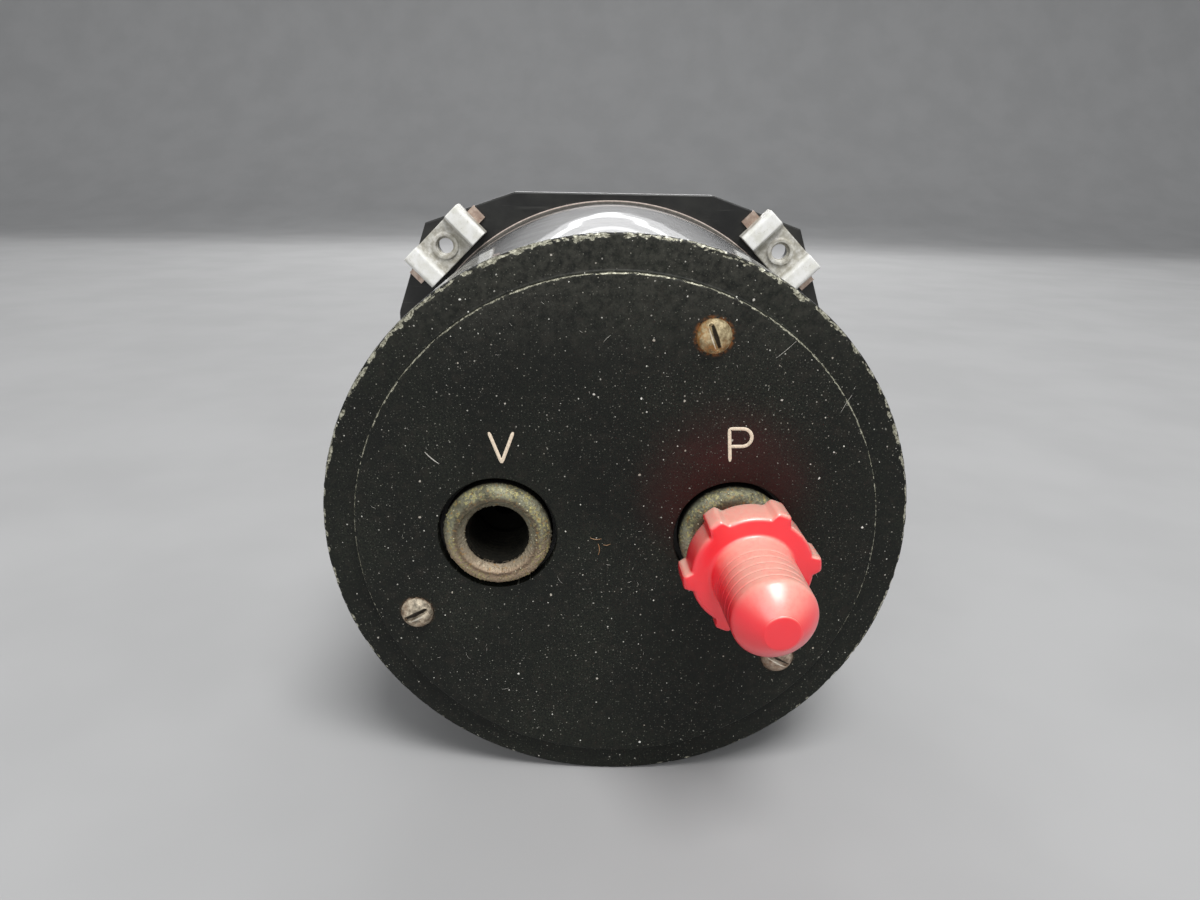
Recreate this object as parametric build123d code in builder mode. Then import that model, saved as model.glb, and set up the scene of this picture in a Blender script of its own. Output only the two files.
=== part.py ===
from build123d import *
import math
import os

os.makedirs("parts", exist_ok=True)

# Panel instrument, millimetres. The instrument axis is Y, the dial looks along +Y, +Z is up.
# The origin is the centre of the four panel screw holes, half way through the flange.
# A depth is the distance behind the origin, so a negative depth lies in front of it.


def rear_plane(depth):
    return Plane.XZ.offset(depth)


def polar(radius, degrees):
    return (radius * math.cos(math.radians(degrees)), radius * math.sin(math.radians(degrees)))


def shifted(centre, offset):
    return (centre[0] + offset[0], centre[1] + offset[1])


# Two measures closer than this are taken as the same
near = 0.01

# Driving dimensions, flange and front barrel
flange_thickness = 2.5
flange_half_width = 41.3
flange_flat_half = 18.5
flange_apex = 35.46
flange_corner_round = 3.5
panel_hole_pitch = 62.87
panel_hole_radius = 1.95
flange_rear = flange_thickness / 2
flange_front = -flange_thickness / 2
window_radius = 34.6
barrel_radius = 39.4
barrel_bore = 38.1
barrel_front = -8.8
barrel_chamfer = 0.5
groove_radius = 38.7
flange_edge_round = 0.3

# Driving dimensions, case
case_radius = 39.6
case_wall = 1.6
case_bore = case_radius - case_wall
case_gasket_thickness = 0.6
case_gasket_radius = 40.1
case_front = flange_rear + case_gasket_thickness
case_rim = flange_rear + 59.37
plateau_radius = 35.04
plateau_height = 1.5
case_back = case_rim + plateau_height
back_thickness = 2.0
recess_radius = plateau_radius - case_wall
recess_floor = case_back - back_thickness
case_floor = case_rim - back_thickness
rim_round = 0.4
plateau_chamfer = 0.25
port_offset = 15.85
port_clearance = 8.0
case_screw_circle = 36.2
case_screw_angles = [0, 90, 180, 270]
case_screw_hole = 1.2
case_screw_pilot = 1.12
case_screw_shank = 1.08
case_screw_reach = 8.5
case_screw_slot = 0.5
case_screw_slot_depth = 0.45
case_screw_slot_angle = 30
countersink_radius = 1.95
countersink_depth = 1.1
countersink_taper = 40
countersink_gap = 0.05
lug_radius = 2.7
lug_length = 8.0
lug_floor = 1.5

# Driving dimensions, port base, sockets and support posts
base_gasket_thickness = 0.5
base_radius = 32.2
base_rear = recess_floor - base_gasket_thickness
base_thickness = 3.5
base_front = base_rear - base_thickness
port_ring_radius = 7.2
port_ring_proud = 1.2
port_mouth = case_back + port_ring_proud
port_ring_round = 1.6
ring_gap = 0.2
port_bore = 4.35
port_bore_depth = 12.3
port_bore_end = port_mouth - port_bore_depth
port_lead = 0.9
boss_radius = 8.4
boss_front = 47.0
vent_radius = 2.0
web_half_height = 4.5
web_front = 51.5
post_radius = 2.5
post_angles = [90, 200, 340]
post_circle = 15.4
back_screw_circle = 29.8
back_screw_angles = [67.1, 203.9, 321.7]
back_screw_slots = [-69.3, 28.0, -30.0]
back_screw_shank = 1.35
back_head_radius = 2.4
back_head_height = 1.3
back_head_round = 1.0
back_screw_overrun = 0.6
back_slot_length = 3.9
back_slot_width = 0.7
back_slot_depth = 0.55
screw_hole_gap = 0.15
thread_gap = 0.02

# Driving dimensions, pressure tube
tube_circle = 21.2
tube_half_width = 4.0
tube_half_radial = 1.5
tube_wall = 0.35
tube_centre_depth = 30.0
tube_start = 6.0
tube_end = 250.0
turn_axis = Axis((0, 0, 0), (0, -1, 0))
tip_start = tube_end + 0.15
tip_sweep = 12.0
tongue_sweep = 3.0
tongue_gap = 0.03
block_radial = 4.4
block_width = 8.8
block_inset = 0.1
tip_block_front = tube_centre_depth - block_width / 2
tip_shoulder_radius = 0.95
socket_x_low = 16.0
socket_x_high = 25.6
socket_half_height = 5.0
socket_front = 24.6
socket_centre = ((socket_x_low + socket_x_high) / 2, 0)
socket_gap = 0.04
socket_sweep = 12.0
duct_x = 18.9
cross_duct_x = 20.0
duct_radius = 0.8
restrictor_radius = 1.2
restrictor_length = 2.0
restrictor_orifice = 0.3
restrictor_slot = 0.4
restrictor_slot_depth = 0.5
cross_duct_length = 3.4

# Driving dimensions, movement plates
plate_radius = 19.2
plate_thickness = 1.2
rear_plate_front = 17.0
rear_plate_back = rear_plate_front + plate_thickness
front_plate_back = 10.2
front_plate_front = front_plate_back - plate_thickness
pillar_radius = 1.6
movement_screw_shank = 0.85
movement_head_radius = 1.5
movement_head_height = 1.0
movement_head_chamfer = 0.25
movement_slot_width = 0.45
movement_slot_depth = 0.5
movement_screw_grip = 4.0
movement_tapping_depth = 4.6
plate_window_circle = 12.0
plate_window_angles = [130, 50]
plate_window_length = 9.0
plate_window_width = 4.0
plate_window_turn = 45
bearing_clearance = 0.04

# Driving dimensions, gears and linkage
tooth_module = 0.25
pinion_teeth = 12
sector_teeth = 120
pressure_angle = math.radians(20)
root_sink = 0.97
pinion_pitch = tooth_module * pinion_teeth / 2
sector_pitch = tooth_module * sector_teeth / 2
gear_centres = pinion_pitch + sector_pitch
sector_centre = (0, -gear_centres)
pinion_front = 12.6
pinion_back = 14.6
sector_front = 13.1
sector_back = 14.1
tail_length = 4.5
sector_turn = 25.0
tail_angle = -90 + sector_turn / 2
tail_centre = shifted(sector_centre, polar(tail_length, tail_angle))
tip_centre = (-5.0, -20.4954)
link_front = 14.5
link_back = 15.3
link_pin_radius = 0.6
tail_hole_clearance = 0.05
tip_hole_clearance = 0.10
link_eye = 1.5
journal_radius = 0.6
journal_proud = 0.4
end_shake = 0.3
neck_gap = 1.2
neck_front_gap = 0.2
arbor_radius = 0.9
pinion_root = pinion_pitch - 0.65 * tooth_module - 0.06
pinion_tip = pinion_pitch + 0.9 * tooth_module
sector_root = sector_pitch - tooth_module - 0.07
sector_tip = sector_pitch + 0.65 * tooth_module
tooth_backlash = 0.03
first_tooth = -3
last_tooth = 10
sector_rim_steps = 12
rim_margin = 0.1
sector_hub = 2.6
sector_window_outer = 12.6
sector_window_inner = 6.0
sector_window_edge = 6.0
sector_window_corner = 8.0
tail_eye = 1.5
tail_width = 2.2
pin_head_radius = 1.0
pin_head_thickness = 0.4
pin_end_play = 0.15
link_width = 1.6

# Driving dimensions, hairspring
spring_front = 10.9
spring_back = 11.7
collet_radius = 1.7
collet_length = 1.0
collet_split = 0.3
spring_turns = 4
spring_inner = collet_radius + 0.05
spring_outer = 7.0
spring_gauge = 0.16
spring_steps = 24
stud_angle = 20
stud_radius = 0.9
stud_gap = 0.05
stud_proud = 0.2

# Driving dimensions, dial and pointer
dial_radius = 34.2
dial_front = 0.3
dial_thickness = 0.8
dial_back = dial_front + dial_thickness
dial_hole = 2.2
dial_post_circle = 15.5
dial_post_angles = [28, 152]
dial_post_radius = 1.7
dial_screw_shank = 0.7
dial_head_radius = 1.4
dial_head_height = 0.7
dial_head_round = 0.3
dial_screw_reach = 4.2
dial_slot_width = 0.4
dial_slot_depth = 0.35
dial_tapping_depth = 4.0
pointer_rest = -35.0
pointer_back = -1.3
pointer_thickness = 0.5
pointer_length = 29.5
pointer_tail = 9.0
pointer_root = 2.4
pointer_root_front = 40
pointer_root_back = 122
pointer_tip_length = 4.0
pointer_half_spread = 1.6
pointer_disc = 2.6
pointer_weight = 2.2
pointer_weight_spread = 8.0
hub_radius = 1.7
hub_height = 1.0
hub_round = 0.35
hub_bore_depth = 0.6
bore_end_gap = 0.1
stop_radius = 0.4
stop_centre = polar(19.0, pointer_rest - 4.6)
stop_front = -2.1

# Driving dimensions, glass stack
shade_front = -4.6
shade_outer = 37.9
shade_inner_rear = 34.3
shade_inner_front = 35.6
glass_back = -5.2
glass_front = -7.2
snap_front = -8.2
glass_radius = 37.8
glass_chamfer = 0.3
snap_outer = 38.5
snap_inner = 36.2
snap_gap = 7.0

# Driving dimensions, clip nuts
clip_circle = panel_hole_pitch / math.sqrt(2)
corner_angles = [45, 135, 225, 315]
clip_length = 14.6
clip_width = 7.2
clip_strip_thickness = 0.5
clip_web_height = 2.2
clip_end_height = 4.0
clip_recess_low = 3.2
clip_recess_high = 4.1
clip_edge_round = 0.9
clip_thread_radius = 1.75
clip_ring_radius = 2.45
clip_ring_height = 0.35
strip_width = 3.0
strip_length = 17.8
strip_inset = 0.4

# Driving dimensions, protective plug in the second port
plug_entry = (16.37, -(case_back + 0.13), -0.37)
plug_lean_x = math.tan(math.radians(4.29))
plug_lean_z = math.tan(math.radians(-1.79))
plug_collar_start = 4.62
plug_collar_end = 9.2
plug_stem_end = 19.35
plug_nose_end = 22.33
plug_stem_radius = 5.0
plug_nose_radius = 2.37
plug_nose_round = 1.2
plug_shank_radius = 3.5
plug_shank_length = 6.0
plug_lead = 0.4
plug_bore = 2.3
plug_bore_end = 17.5
plug_collar_radius = 7.8
plug_ear_radius = 8.9
plug_ear_length = 3.4
plug_ear_width = 2.5
plug_ear_round = 0.7
plug_ear_inset = 0.4
plug_ear_count = 6
plug_ear_phase = 2.5
plug_thread_end = 17.4
plug_thread_pitch = 1.5
plug_thread_depth = 0.3
plug_thread_turns = 4
plug_crest_share = 0.4
plug_valley_start = 0.6
plug_valley_end = 0.8

# Mounting flange with the barrel that carries the glass
with BuildPart() as mounting_flange:
    with BuildSketch(rear_plane(flange_rear)) as outline:
        with BuildLine():
            quarter = [
                (-flange_flat_half, flange_half_width),
                (flange_flat_half, flange_half_width),
                (flange_apex, flange_apex),
            ]
            corners = []
            for turn in range(4):
                for x, z in quarter:
                    angle = -math.radians(90 * turn)
                    corners.append((
                        x * math.cos(angle) - z * math.sin(angle),
                        x * math.sin(angle) + z * math.cos(angle),
                    ))
            Polyline(*corners, close=True)
        make_face()
        apexes = outline.vertices().sort_by(lambda v: v.X**2 + v.Z**2)[-4:]
        fillet(apexes, flange_corner_round)
    extrude(amount=-flange_thickness)
    with BuildSketch(rear_plane(flange_front)):
        Circle(barrel_radius)
    extrude(amount=barrel_front - flange_front)
    with BuildSketch(rear_plane(flange_rear)):
        Circle(window_radius)
    extrude(amount=-flange_thickness, mode=Mode.SUBTRACT)
    with BuildSketch(rear_plane(flange_front)):
        Circle(barrel_bore)
    extrude(amount=barrel_front - flange_front, mode=Mode.SUBTRACT)
    with BuildSketch(rear_plane(glass_front)):
        Circle(groove_radius)
    extrude(amount=snap_front - glass_front, mode=Mode.SUBTRACT)
    with BuildSketch(rear_plane(flange_rear)):
        with GridLocations(panel_hole_pitch, panel_hole_pitch, 2, 2):
            Circle(panel_hole_radius)
    extrude(amount=-flange_thickness, mode=Mode.SUBTRACT)
    with BuildSketch(rear_plane(flange_rear)):
        with PolarLocations(case_screw_circle, len(case_screw_angles)):
            Circle(case_screw_hole)
    extrude(amount=-flange_thickness, mode=Mode.SUBTRACT)
    with BuildSketch(rear_plane(flange_front)):
        with PolarLocations(case_screw_circle, len(case_screw_angles)):
            Circle(countersink_radius)
    extrude(amount=countersink_depth, taper=countersink_taper, mode=Mode.SUBTRACT)
    front_rim = mounting_flange.faces().sort_by(Axis.Y)[-1]
    chamfer(front_rim.outer_wire().edges(), barrel_chamfer)
    for level in (flange_rear, flange_front):
        level_faces = mounting_flange.faces().filter_by(Axis.Y)
        level_face = level_faces.filter_by(lambda f: abs(f.center().Y + level) < near)
        fillet(level_face.sort_by(SortBy.AREA)[-1].outer_wire().edges(), flange_edge_round)
mounting_flange.part.label = "mounting_flange"
export_step(mounting_flange.part, "parts/mounting_flange.step")

# Sealing ring between flange and case, its edge stands a little proud of the drum
with BuildPart() as case_gasket:
    with BuildSketch(rear_plane(flange_rear)):
        Circle(case_gasket_radius)
        Circle(window_radius, mode=Mode.SUBTRACT)
        with PolarLocations(case_screw_circle, len(case_screw_angles)):
            Circle(case_screw_hole, mode=Mode.SUBTRACT)
    extrude(amount=case_gasket_thickness)
case_gasket.part.label = "case_gasket"
export_step(case_gasket.part, "parts/case_gasket.step")

# Case drum with its raised back, port holes and inner screw lugs
with BuildPart() as case_drum:
    with BuildSketch(Plane.XY):
        with BuildLine():
            Polyline(
                (0, -case_back),
                (plateau_radius, -case_back),
                (plateau_radius, -case_rim),
                (case_radius, -case_rim),
                (case_radius, -case_front),
                (case_bore, -case_front),
                (case_bore, -case_floor),
                (recess_radius, -case_floor),
                (recess_radius, -recess_floor),
                (0, -recess_floor),
                close=True,
            )
        make_face()
    revolve(axis=Axis.Y)
    ring_edges = case_drum.edges().filter_by(GeomType.CIRCLE)
    rim_edge = ring_edges.filter_by(lambda e: abs(e.radius - case_radius) < near)
    fillet(rim_edge.sort_by(Axis.Y)[0], rim_round)
    ring_edges = case_drum.edges().filter_by(GeomType.CIRCLE)
    plateau_edge = ring_edges.filter_by(lambda e: abs(e.radius - plateau_radius) < near)
    chamfer(plateau_edge.sort_by(Axis.Y)[0], plateau_chamfer)
    with BuildSketch(rear_plane(case_front)):
        with PolarLocations(case_screw_circle, len(case_screw_angles)):
            Circle(lug_radius)
    extrude(amount=lug_length)
    with BuildSketch(rear_plane(case_front)):
        with PolarLocations(case_screw_circle, len(case_screw_angles)):
            Circle(case_screw_pilot)
    extrude(amount=lug_length - lug_floor, mode=Mode.SUBTRACT)
    with BuildSketch(rear_plane(recess_floor)):
        with Locations((-port_offset, 0), (port_offset, 0)):
            Circle(port_clearance)
        for angle in back_screw_angles:
            with Locations(polar(back_screw_circle, angle)):
                Circle(back_screw_shank + screw_hole_gap)
    extrude(amount=back_thickness, mode=Mode.SUBTRACT)
case_drum.part.label = "case_drum"
export_step(case_drum.part, "parts/case_drum.step")

# Countersunk screws that pull the flange onto the drum
for index, angle in enumerate(case_screw_angles, start=1):
    centre = polar(case_screw_circle, angle)
    with BuildPart() as case_screw:
        with BuildSketch(rear_plane(flange_front)):
            with Locations(centre):
                Circle(countersink_radius - countersink_gap)
        extrude(amount=countersink_depth - 2 * countersink_gap, taper=countersink_taper)
        with BuildSketch(rear_plane(flange_front)):
            with Locations(centre):
                Circle(case_screw_shank)
        extrude(amount=case_screw_reach)
        with BuildSketch(rear_plane(flange_front)):
            with Locations(centre):
                Rectangle(2 * countersink_radius, case_screw_slot, rotation=case_screw_slot_angle)
        extrude(amount=case_screw_slot_depth, mode=Mode.SUBTRACT)
    case_screw.part.label = f"case_screw_{index}"
    export_step(case_screw.part, f"parts/case_screw_{index}.step")

# Shade ring between the flange and the glass, its bore flares toward the viewer
with BuildPart() as shade_ring:
    with BuildSketch(Plane.XY):
        with BuildLine():
            Polyline(
                (shade_inner_rear, -flange_front),
                (shade_outer, -flange_front),
                (shade_outer, -shade_front),
                (shade_inner_front, -shade_front),
                close=True,
            )
        make_face()
    revolve(axis=Axis.Y)
shade_ring.part.label = "shade_ring"
export_step(shade_ring.part, "parts/shade_ring.step")

# Glass gasket
with BuildPart() as glass_gasket:
    with BuildSketch(rear_plane(shade_front)):
        Circle(shade_outer)
        Circle(shade_inner_front, mode=Mode.SUBTRACT)
    extrude(amount=glass_back - shade_front)
glass_gasket.part.label = "glass_gasket"
export_step(glass_gasket.part, "parts/glass_gasket.step")

# Cover glass
with BuildPart() as cover_glass:
    with BuildSketch(rear_plane(glass_back)):
        Circle(glass_radius)
    extrude(amount=glass_front - glass_back)
    chamfer(cover_glass.edges().sort_by(Axis.Y)[-1], glass_chamfer)
cover_glass.part.label = "cover_glass"
export_step(cover_glass.part, "parts/cover_glass.step")

# Split snap ring in the barrel groove
with BuildPart() as snap_ring:
    with BuildSketch(rear_plane(glass_front)):
        Circle(snap_outer)
        Circle(snap_inner, mode=Mode.SUBTRACT)
        with Locations((0, -(snap_outer + snap_inner) / 2)):
            Rectangle(snap_gap, 2 * (snap_outer - snap_inner), mode=Mode.SUBTRACT)
    extrude(amount=snap_front - glass_front)
snap_ring.part.label = "snap_ring"
export_step(snap_ring.part, "parts/snap_ring.step")

# Dial plate
with BuildPart() as dial_plate:
    with BuildSketch(rear_plane(dial_front)):
        Circle(dial_radius)
        Circle(dial_hole, mode=Mode.SUBTRACT)
        for angle in dial_post_angles:
            with Locations(polar(dial_post_circle, angle)):
                Circle(dial_screw_shank + screw_hole_gap, mode=Mode.SUBTRACT)
        with Locations(stop_centre):
            Circle(stop_radius, mode=Mode.SUBTRACT)
    extrude(amount=dial_thickness)
dial_plate.part.label = "dial_plate"
export_step(dial_plate.part, "parts/dial_plate.step")

# Dial posts and dial screws
for index, angle in enumerate(dial_post_angles, start=1):
    centre = polar(dial_post_circle, angle)
    with BuildPart() as dial_post:
        with BuildSketch(rear_plane(dial_back)):
            with Locations(centre):
                Circle(dial_post_radius)
        extrude(amount=front_plate_front - dial_back)
        with BuildSketch(rear_plane(dial_back)):
            with Locations(centre):
                Circle(dial_screw_shank + thread_gap)
        extrude(amount=dial_tapping_depth, mode=Mode.SUBTRACT)
    dial_post.part.label = f"dial_post_{index}"
    export_step(dial_post.part, f"parts/dial_post_{index}.step")
    with BuildPart() as dial_screw:
        with BuildSketch(rear_plane(dial_front)):
            with Locations(centre):
                Circle(dial_head_radius)
        extrude(amount=-dial_head_height)
        fillet(dial_screw.edges().sort_by(Axis.Y)[-1], dial_head_round)
        with BuildSketch(rear_plane(dial_front)):
            with Locations(centre):
                Circle(dial_screw_shank)
        extrude(amount=dial_screw_reach)
        with BuildSketch(rear_plane(dial_front - dial_head_height)):
            with Locations(centre):
                Rectangle(3 * dial_head_radius, dial_slot_width, rotation=angle)
        extrude(amount=dial_slot_depth, mode=Mode.SUBTRACT)
    dial_screw.part.label = f"dial_screw_{index}"
    export_step(dial_screw.part, f"parts/dial_screw_{index}.step")

# Stop pin that the pointer comes back to at zero
with BuildPart() as stop_pin:
    with BuildSketch(rear_plane(stop_front)):
        with Locations(stop_centre):
            Circle(stop_radius)
    extrude(amount=dial_back - stop_front)
stop_pin.part.label = "stop_pin"
export_step(stop_pin.part, "parts/stop_pin.step")

# Pointer, a tapered hand with a counterweight and a hub
with BuildPart() as pointer:
    with BuildSketch(rear_plane(pointer_back)):
        with BuildLine():
            one_side = [
                (pointer_tail, 180 - pointer_weight_spread),
                (pointer_root, pointer_root_back),
                (pointer_root, pointer_root_front),
                (pointer_length - pointer_tip_length, pointer_half_spread),
            ]
            hand = [polar(radius, pointer_rest + turn) for radius, turn in one_side]
            hand.append(polar(pointer_length, pointer_rest))
            hand += [polar(radius, pointer_rest - turn) for radius, turn in reversed(one_side)]
            Polyline(*hand, close=True)
        make_face()
        Circle(pointer_disc)
        with Locations(polar(pointer_tail, pointer_rest + 180)):
            Circle(pointer_weight)
    extrude(amount=-pointer_thickness)
    with BuildSketch(rear_plane(pointer_back - pointer_thickness)):
        Circle(hub_radius)
    extrude(amount=-hub_height)
    fillet(pointer.edges().sort_by(Axis.Y)[-1], hub_round)
    with BuildSketch(rear_plane(pointer_back)):
        Circle(journal_radius)
    extrude(amount=-pointer_thickness - hub_bore_depth, mode=Mode.SUBTRACT)
pointer.part.label = "pointer"
export_step(pointer.part, "parts/pointer.step")


# Involute tooth outline at a given middle angle, from below the base circle to the tip
def tooth_outline(centre, teeth, root, tip, middle, backlash, steps=4):
    pitch = tooth_module * teeth / 2
    base = pitch * math.cos(pressure_angle)
    half = math.pi / (2 * teeth) - backlash / (2 * pitch)
    at_pitch = math.tan(pressure_angle) - pressure_angle
    low = max(base, root)
    flank = []
    for step in range(steps + 1):
        radius = low + (tip - low) * step / steps
        slope = math.acos(min(1.0, base / radius))
        flank.append((radius, half + at_pitch - (math.tan(slope) - slope)))
    flank.insert(0, (root * root_sink, flank[0][1]))
    left = [polar(radius, middle + math.degrees(angle)) for radius, angle in flank]
    right = [polar(radius, middle - math.degrees(angle)) for radius, angle in flank]
    return [shifted(centre, point) for point in left + right[::-1]]


# Pointer arbor turned with its pinion, running in both plates
arbor_back = rear_plate_back + journal_proud
arbor_front = pointer_back - pointer_thickness - hub_bore_depth + bore_end_gap
shoulder_back = rear_plate_front - end_shake
shoulder_front = front_plate_back + end_shake
neck_back = front_plate_front - neck_gap
neck_front = pointer_back + neck_front_gap
with BuildPart() as pointer_arbor:
    with BuildSketch(rear_plane(arbor_back)):
        Circle(journal_radius)
    extrude(amount=arbor_front - arbor_back)
    with BuildSketch(rear_plane(shoulder_back)):
        Circle(arbor_radius)
    extrude(amount=shoulder_front - shoulder_back)
    with BuildSketch(rear_plane(neck_back)):
        Circle(arbor_radius)
    extrude(amount=neck_front - neck_back)
    with BuildSketch(rear_plane(pinion_front)):
        Circle(pinion_root)
        for tooth in range(pinion_teeth):
            with BuildLine():
                middle = -90 + tooth * 360 / pinion_teeth
                flanks = tooth_outline(
                    (0, 0), pinion_teeth, pinion_root, pinion_tip, middle, tooth_backlash
                )
                Polyline(*flanks, close=True)
            make_face()
    extrude(amount=pinion_back - pinion_front)
pointer_arbor.part.label = "pointer_arbor"
export_step(pointer_arbor.part, "parts/pointer_arbor.step")

# Collet that grips the inner end of the hairspring on the arbor
with BuildPart() as spring_collet:
    with BuildSketch(rear_plane((spring_front + spring_back - collet_length) / 2)):
        Circle(collet_radius)
        Circle(arbor_radius, mode=Mode.SUBTRACT)
        with Locations((-collet_radius, 0)):
            Rectangle(collet_radius, collet_split, mode=Mode.SUBTRACT)
    extrude(amount=collet_length)
spring_collet.part.label = "spring_collet"
export_step(spring_collet.part, "parts/spring_collet.step")

# Hairspring, a flat spiral from the collet out to the stud
with BuildPart() as hairspring:
    with BuildSketch(rear_plane(spring_front)):
        with BuildLine():
            inside = []
            outside = []
            for step in range(spring_turns * spring_steps + 1):
                turned = 360 * step / spring_steps
                radius = spring_inner + (spring_outer - spring_inner) * turned / (360 * spring_turns)
                inside.append(polar(radius, turned + stud_angle))
                outside.append(polar(radius + spring_gauge, turned + stud_angle))
            Polyline(*inside, *outside[::-1], close=True)
        make_face()
    extrude(amount=spring_back - spring_front)
hairspring.part.label = "hairspring"
export_step(hairspring.part, "parts/hairspring.step")

# Stud under the front plate that anchors the outer end of the hairspring
stud_centre = polar(spring_outer + spring_gauge + stud_radius + stud_gap, stud_angle)
with BuildPart() as spring_stud:
    with BuildSketch(rear_plane(front_plate_back)):
        with Locations(stud_centre):
            Circle(stud_radius)
    extrude(amount=spring_back + stud_proud - front_plate_back)
spring_stud.part.label = "spring_stud"
export_step(spring_stud.part, "parts/spring_stud.step")

# Movement plates with bearing holes, pillar screw holes and a cut away window
for name, front in (("front_plate", front_plate_front), ("rear_plate", rear_plate_front)):
    with BuildPart() as movement_plate:
        with BuildSketch(rear_plane(front)):
            Circle(plate_radius)
            with Locations((0, 0), sector_centre):
                Circle(journal_radius + bearing_clearance, mode=Mode.SUBTRACT)
            for angle in post_angles:
                with Locations(polar(post_circle, angle)):
                    Circle(movement_screw_shank + screw_hole_gap, mode=Mode.SUBTRACT)
            for angle in plate_window_angles:
                with Locations(polar(plate_window_circle, angle)):
                    SlotOverall(
                        plate_window_length,
                        plate_window_width,
                        rotation=plate_window_turn,
                        mode=Mode.SUBTRACT,
                    )
        extrude(amount=plate_thickness)
    movement_plate.part.label = name
    export_step(movement_plate.part, f"parts/{name}.step")

# Pillars between the plates and the long screws through them
for index, angle in enumerate(post_angles, start=1):
    centre = polar(post_circle, angle)
    with BuildPart() as pillar:
        with BuildSketch(rear_plane(front_plate_back)):
            with Locations(centre):
                Circle(pillar_radius)
                Circle(movement_screw_shank + screw_hole_gap, mode=Mode.SUBTRACT)
        extrude(amount=rear_plate_front - front_plate_back)
    pillar.part.label = f"pillar_{index}"
    export_step(pillar.part, f"parts/pillar_{index}.step")
    with BuildPart() as movement_screw:
        with BuildSketch(rear_plane(front_plate_front)):
            with Locations(centre):
                Circle(movement_head_radius)
        extrude(amount=-movement_head_height)
        chamfer(movement_screw.edges().sort_by(Axis.Y)[-1], movement_head_chamfer)
        with BuildSketch(rear_plane(front_plate_front)):
            with Locations(centre):
                Circle(movement_screw_shank)
        extrude(amount=rear_plate_back - front_plate_front + movement_screw_grip)
        with BuildSketch(rear_plane(front_plate_front - movement_head_height)):
            with Locations(centre):
                Rectangle(3 * movement_head_radius, movement_slot_width, rotation=angle)
        extrude(amount=movement_slot_depth, mode=Mode.SUBTRACT)
    movement_screw.part.label = f"movement_screw_{index}"
    export_step(movement_screw.part, f"parts/movement_screw_{index}.step")

# Toothed sector with its hub, lightening window and tail
tooth_step = 360 / sector_teeth
low_edge = 90 + tooth_step * (first_tooth - rim_margin)
high_edge = 90 + tooth_step * (last_tooth + 1 + rim_margin)
with BuildPart() as sector_gear:
    with BuildSketch(rear_plane(sector_front)):
        with BuildLine():
            rim = []
            for step in range(sector_rim_steps + 1):
                angle = low_edge + (high_edge - low_edge) * step / sector_rim_steps
                rim.append(shifted(sector_centre, polar(sector_root, angle)))
            Polyline(sector_centre, *rim, close=True)
        make_face()
        for tooth in range(first_tooth, last_tooth + 1):
            with BuildLine():
                middle = 90 + tooth_step * (tooth + 0.5)
                flanks = tooth_outline(
                    sector_centre, sector_teeth, sector_root, sector_tip, middle, tooth_backlash, steps=2
                )
                Polyline(*flanks, close=True)
            make_face()
        with BuildLine():
            window = []
            window_sweep = high_edge - low_edge - 2 * sector_window_edge
            for step in range(sector_rim_steps + 1):
                angle = low_edge + sector_window_edge + window_sweep * step / sector_rim_steps
                window.append(shifted(sector_centre, polar(sector_window_outer, angle)))
            low_corner = polar(sector_window_inner, low_edge + sector_window_corner)
            high_corner = polar(sector_window_inner, high_edge - sector_window_corner)
            inner_low = shifted(sector_centre, low_corner)
            inner_high = shifted(sector_centre, high_corner)
            Polyline(inner_low, *window, inner_high, close=True)
        make_face(mode=Mode.SUBTRACT)
        with Locations(sector_centre):
            Circle(sector_hub)
        with Locations(tail_centre):
            Circle(tail_eye)
        tail_middle = shifted(sector_centre, polar(tail_length / 2, tail_angle))
        with Locations(tail_middle):
            Rectangle(tail_length, tail_width, rotation=tail_angle)
        with Locations(sector_centre):
            Circle(arbor_radius, mode=Mode.SUBTRACT)
        with Locations(tail_centre):
            Circle(link_pin_radius, mode=Mode.SUBTRACT)
    extrude(amount=sector_back - sector_front)
sector_gear.part.label = "sector_gear"
export_step(sector_gear.part, "parts/sector_gear.step")

# Sector arbor, shouldered between the plates
with BuildPart() as sector_arbor:
    with BuildSketch(rear_plane(front_plate_front - journal_proud)):
        with Locations(sector_centre):
            Circle(journal_radius)
    extrude(amount=rear_plate_back - front_plate_front + 2 * journal_proud)
    with BuildSketch(rear_plane(shoulder_front)):
        with Locations(sector_centre):
            Circle(arbor_radius)
    extrude(amount=shoulder_back - shoulder_front)
sector_arbor.part.label = "sector_arbor"
export_step(sector_arbor.part, "parts/sector_arbor.step")

# Pin that joins the sector tail to the link
with BuildPart() as tail_pin:
    with BuildSketch(rear_plane(sector_front)):
        with Locations(tail_centre):
            Circle(link_pin_radius)
    extrude(amount=link_back + pin_end_play - sector_front)
    with BuildSketch(rear_plane(link_back + pin_end_play)):
        with Locations(tail_centre):
            Circle(pin_head_radius)
    extrude(amount=pin_head_thickness)
tail_pin.part.label = "tail_pin"
export_step(tail_pin.part, "parts/tail_pin.step")

# Link between the sector tail and the end of the tube
link_vector = (tip_centre[0] - tail_centre[0], tip_centre[1] - tail_centre[1])
link_span = math.hypot(*link_vector)
link_angle = math.degrees(math.atan2(link_vector[1], link_vector[0]))
link_middle = shifted(tail_centre, polar(link_span / 2, link_angle))
with BuildPart() as link:
    with BuildSketch(rear_plane(link_front)):
        with Locations(tail_centre, tip_centre):
            Circle(link_eye)
        with Locations(link_middle):
            Rectangle(link_span, link_width, rotation=link_angle)
        with Locations(tail_centre):
            Circle(link_pin_radius + tail_hole_clearance, mode=Mode.SUBTRACT)
        with Locations(tip_centre):
            Circle(link_pin_radius + tip_hole_clearance, mode=Mode.SUBTRACT)
    extrude(amount=link_back - link_front)
link.part.label = "link"
export_step(link.part, "parts/link.step")

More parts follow.
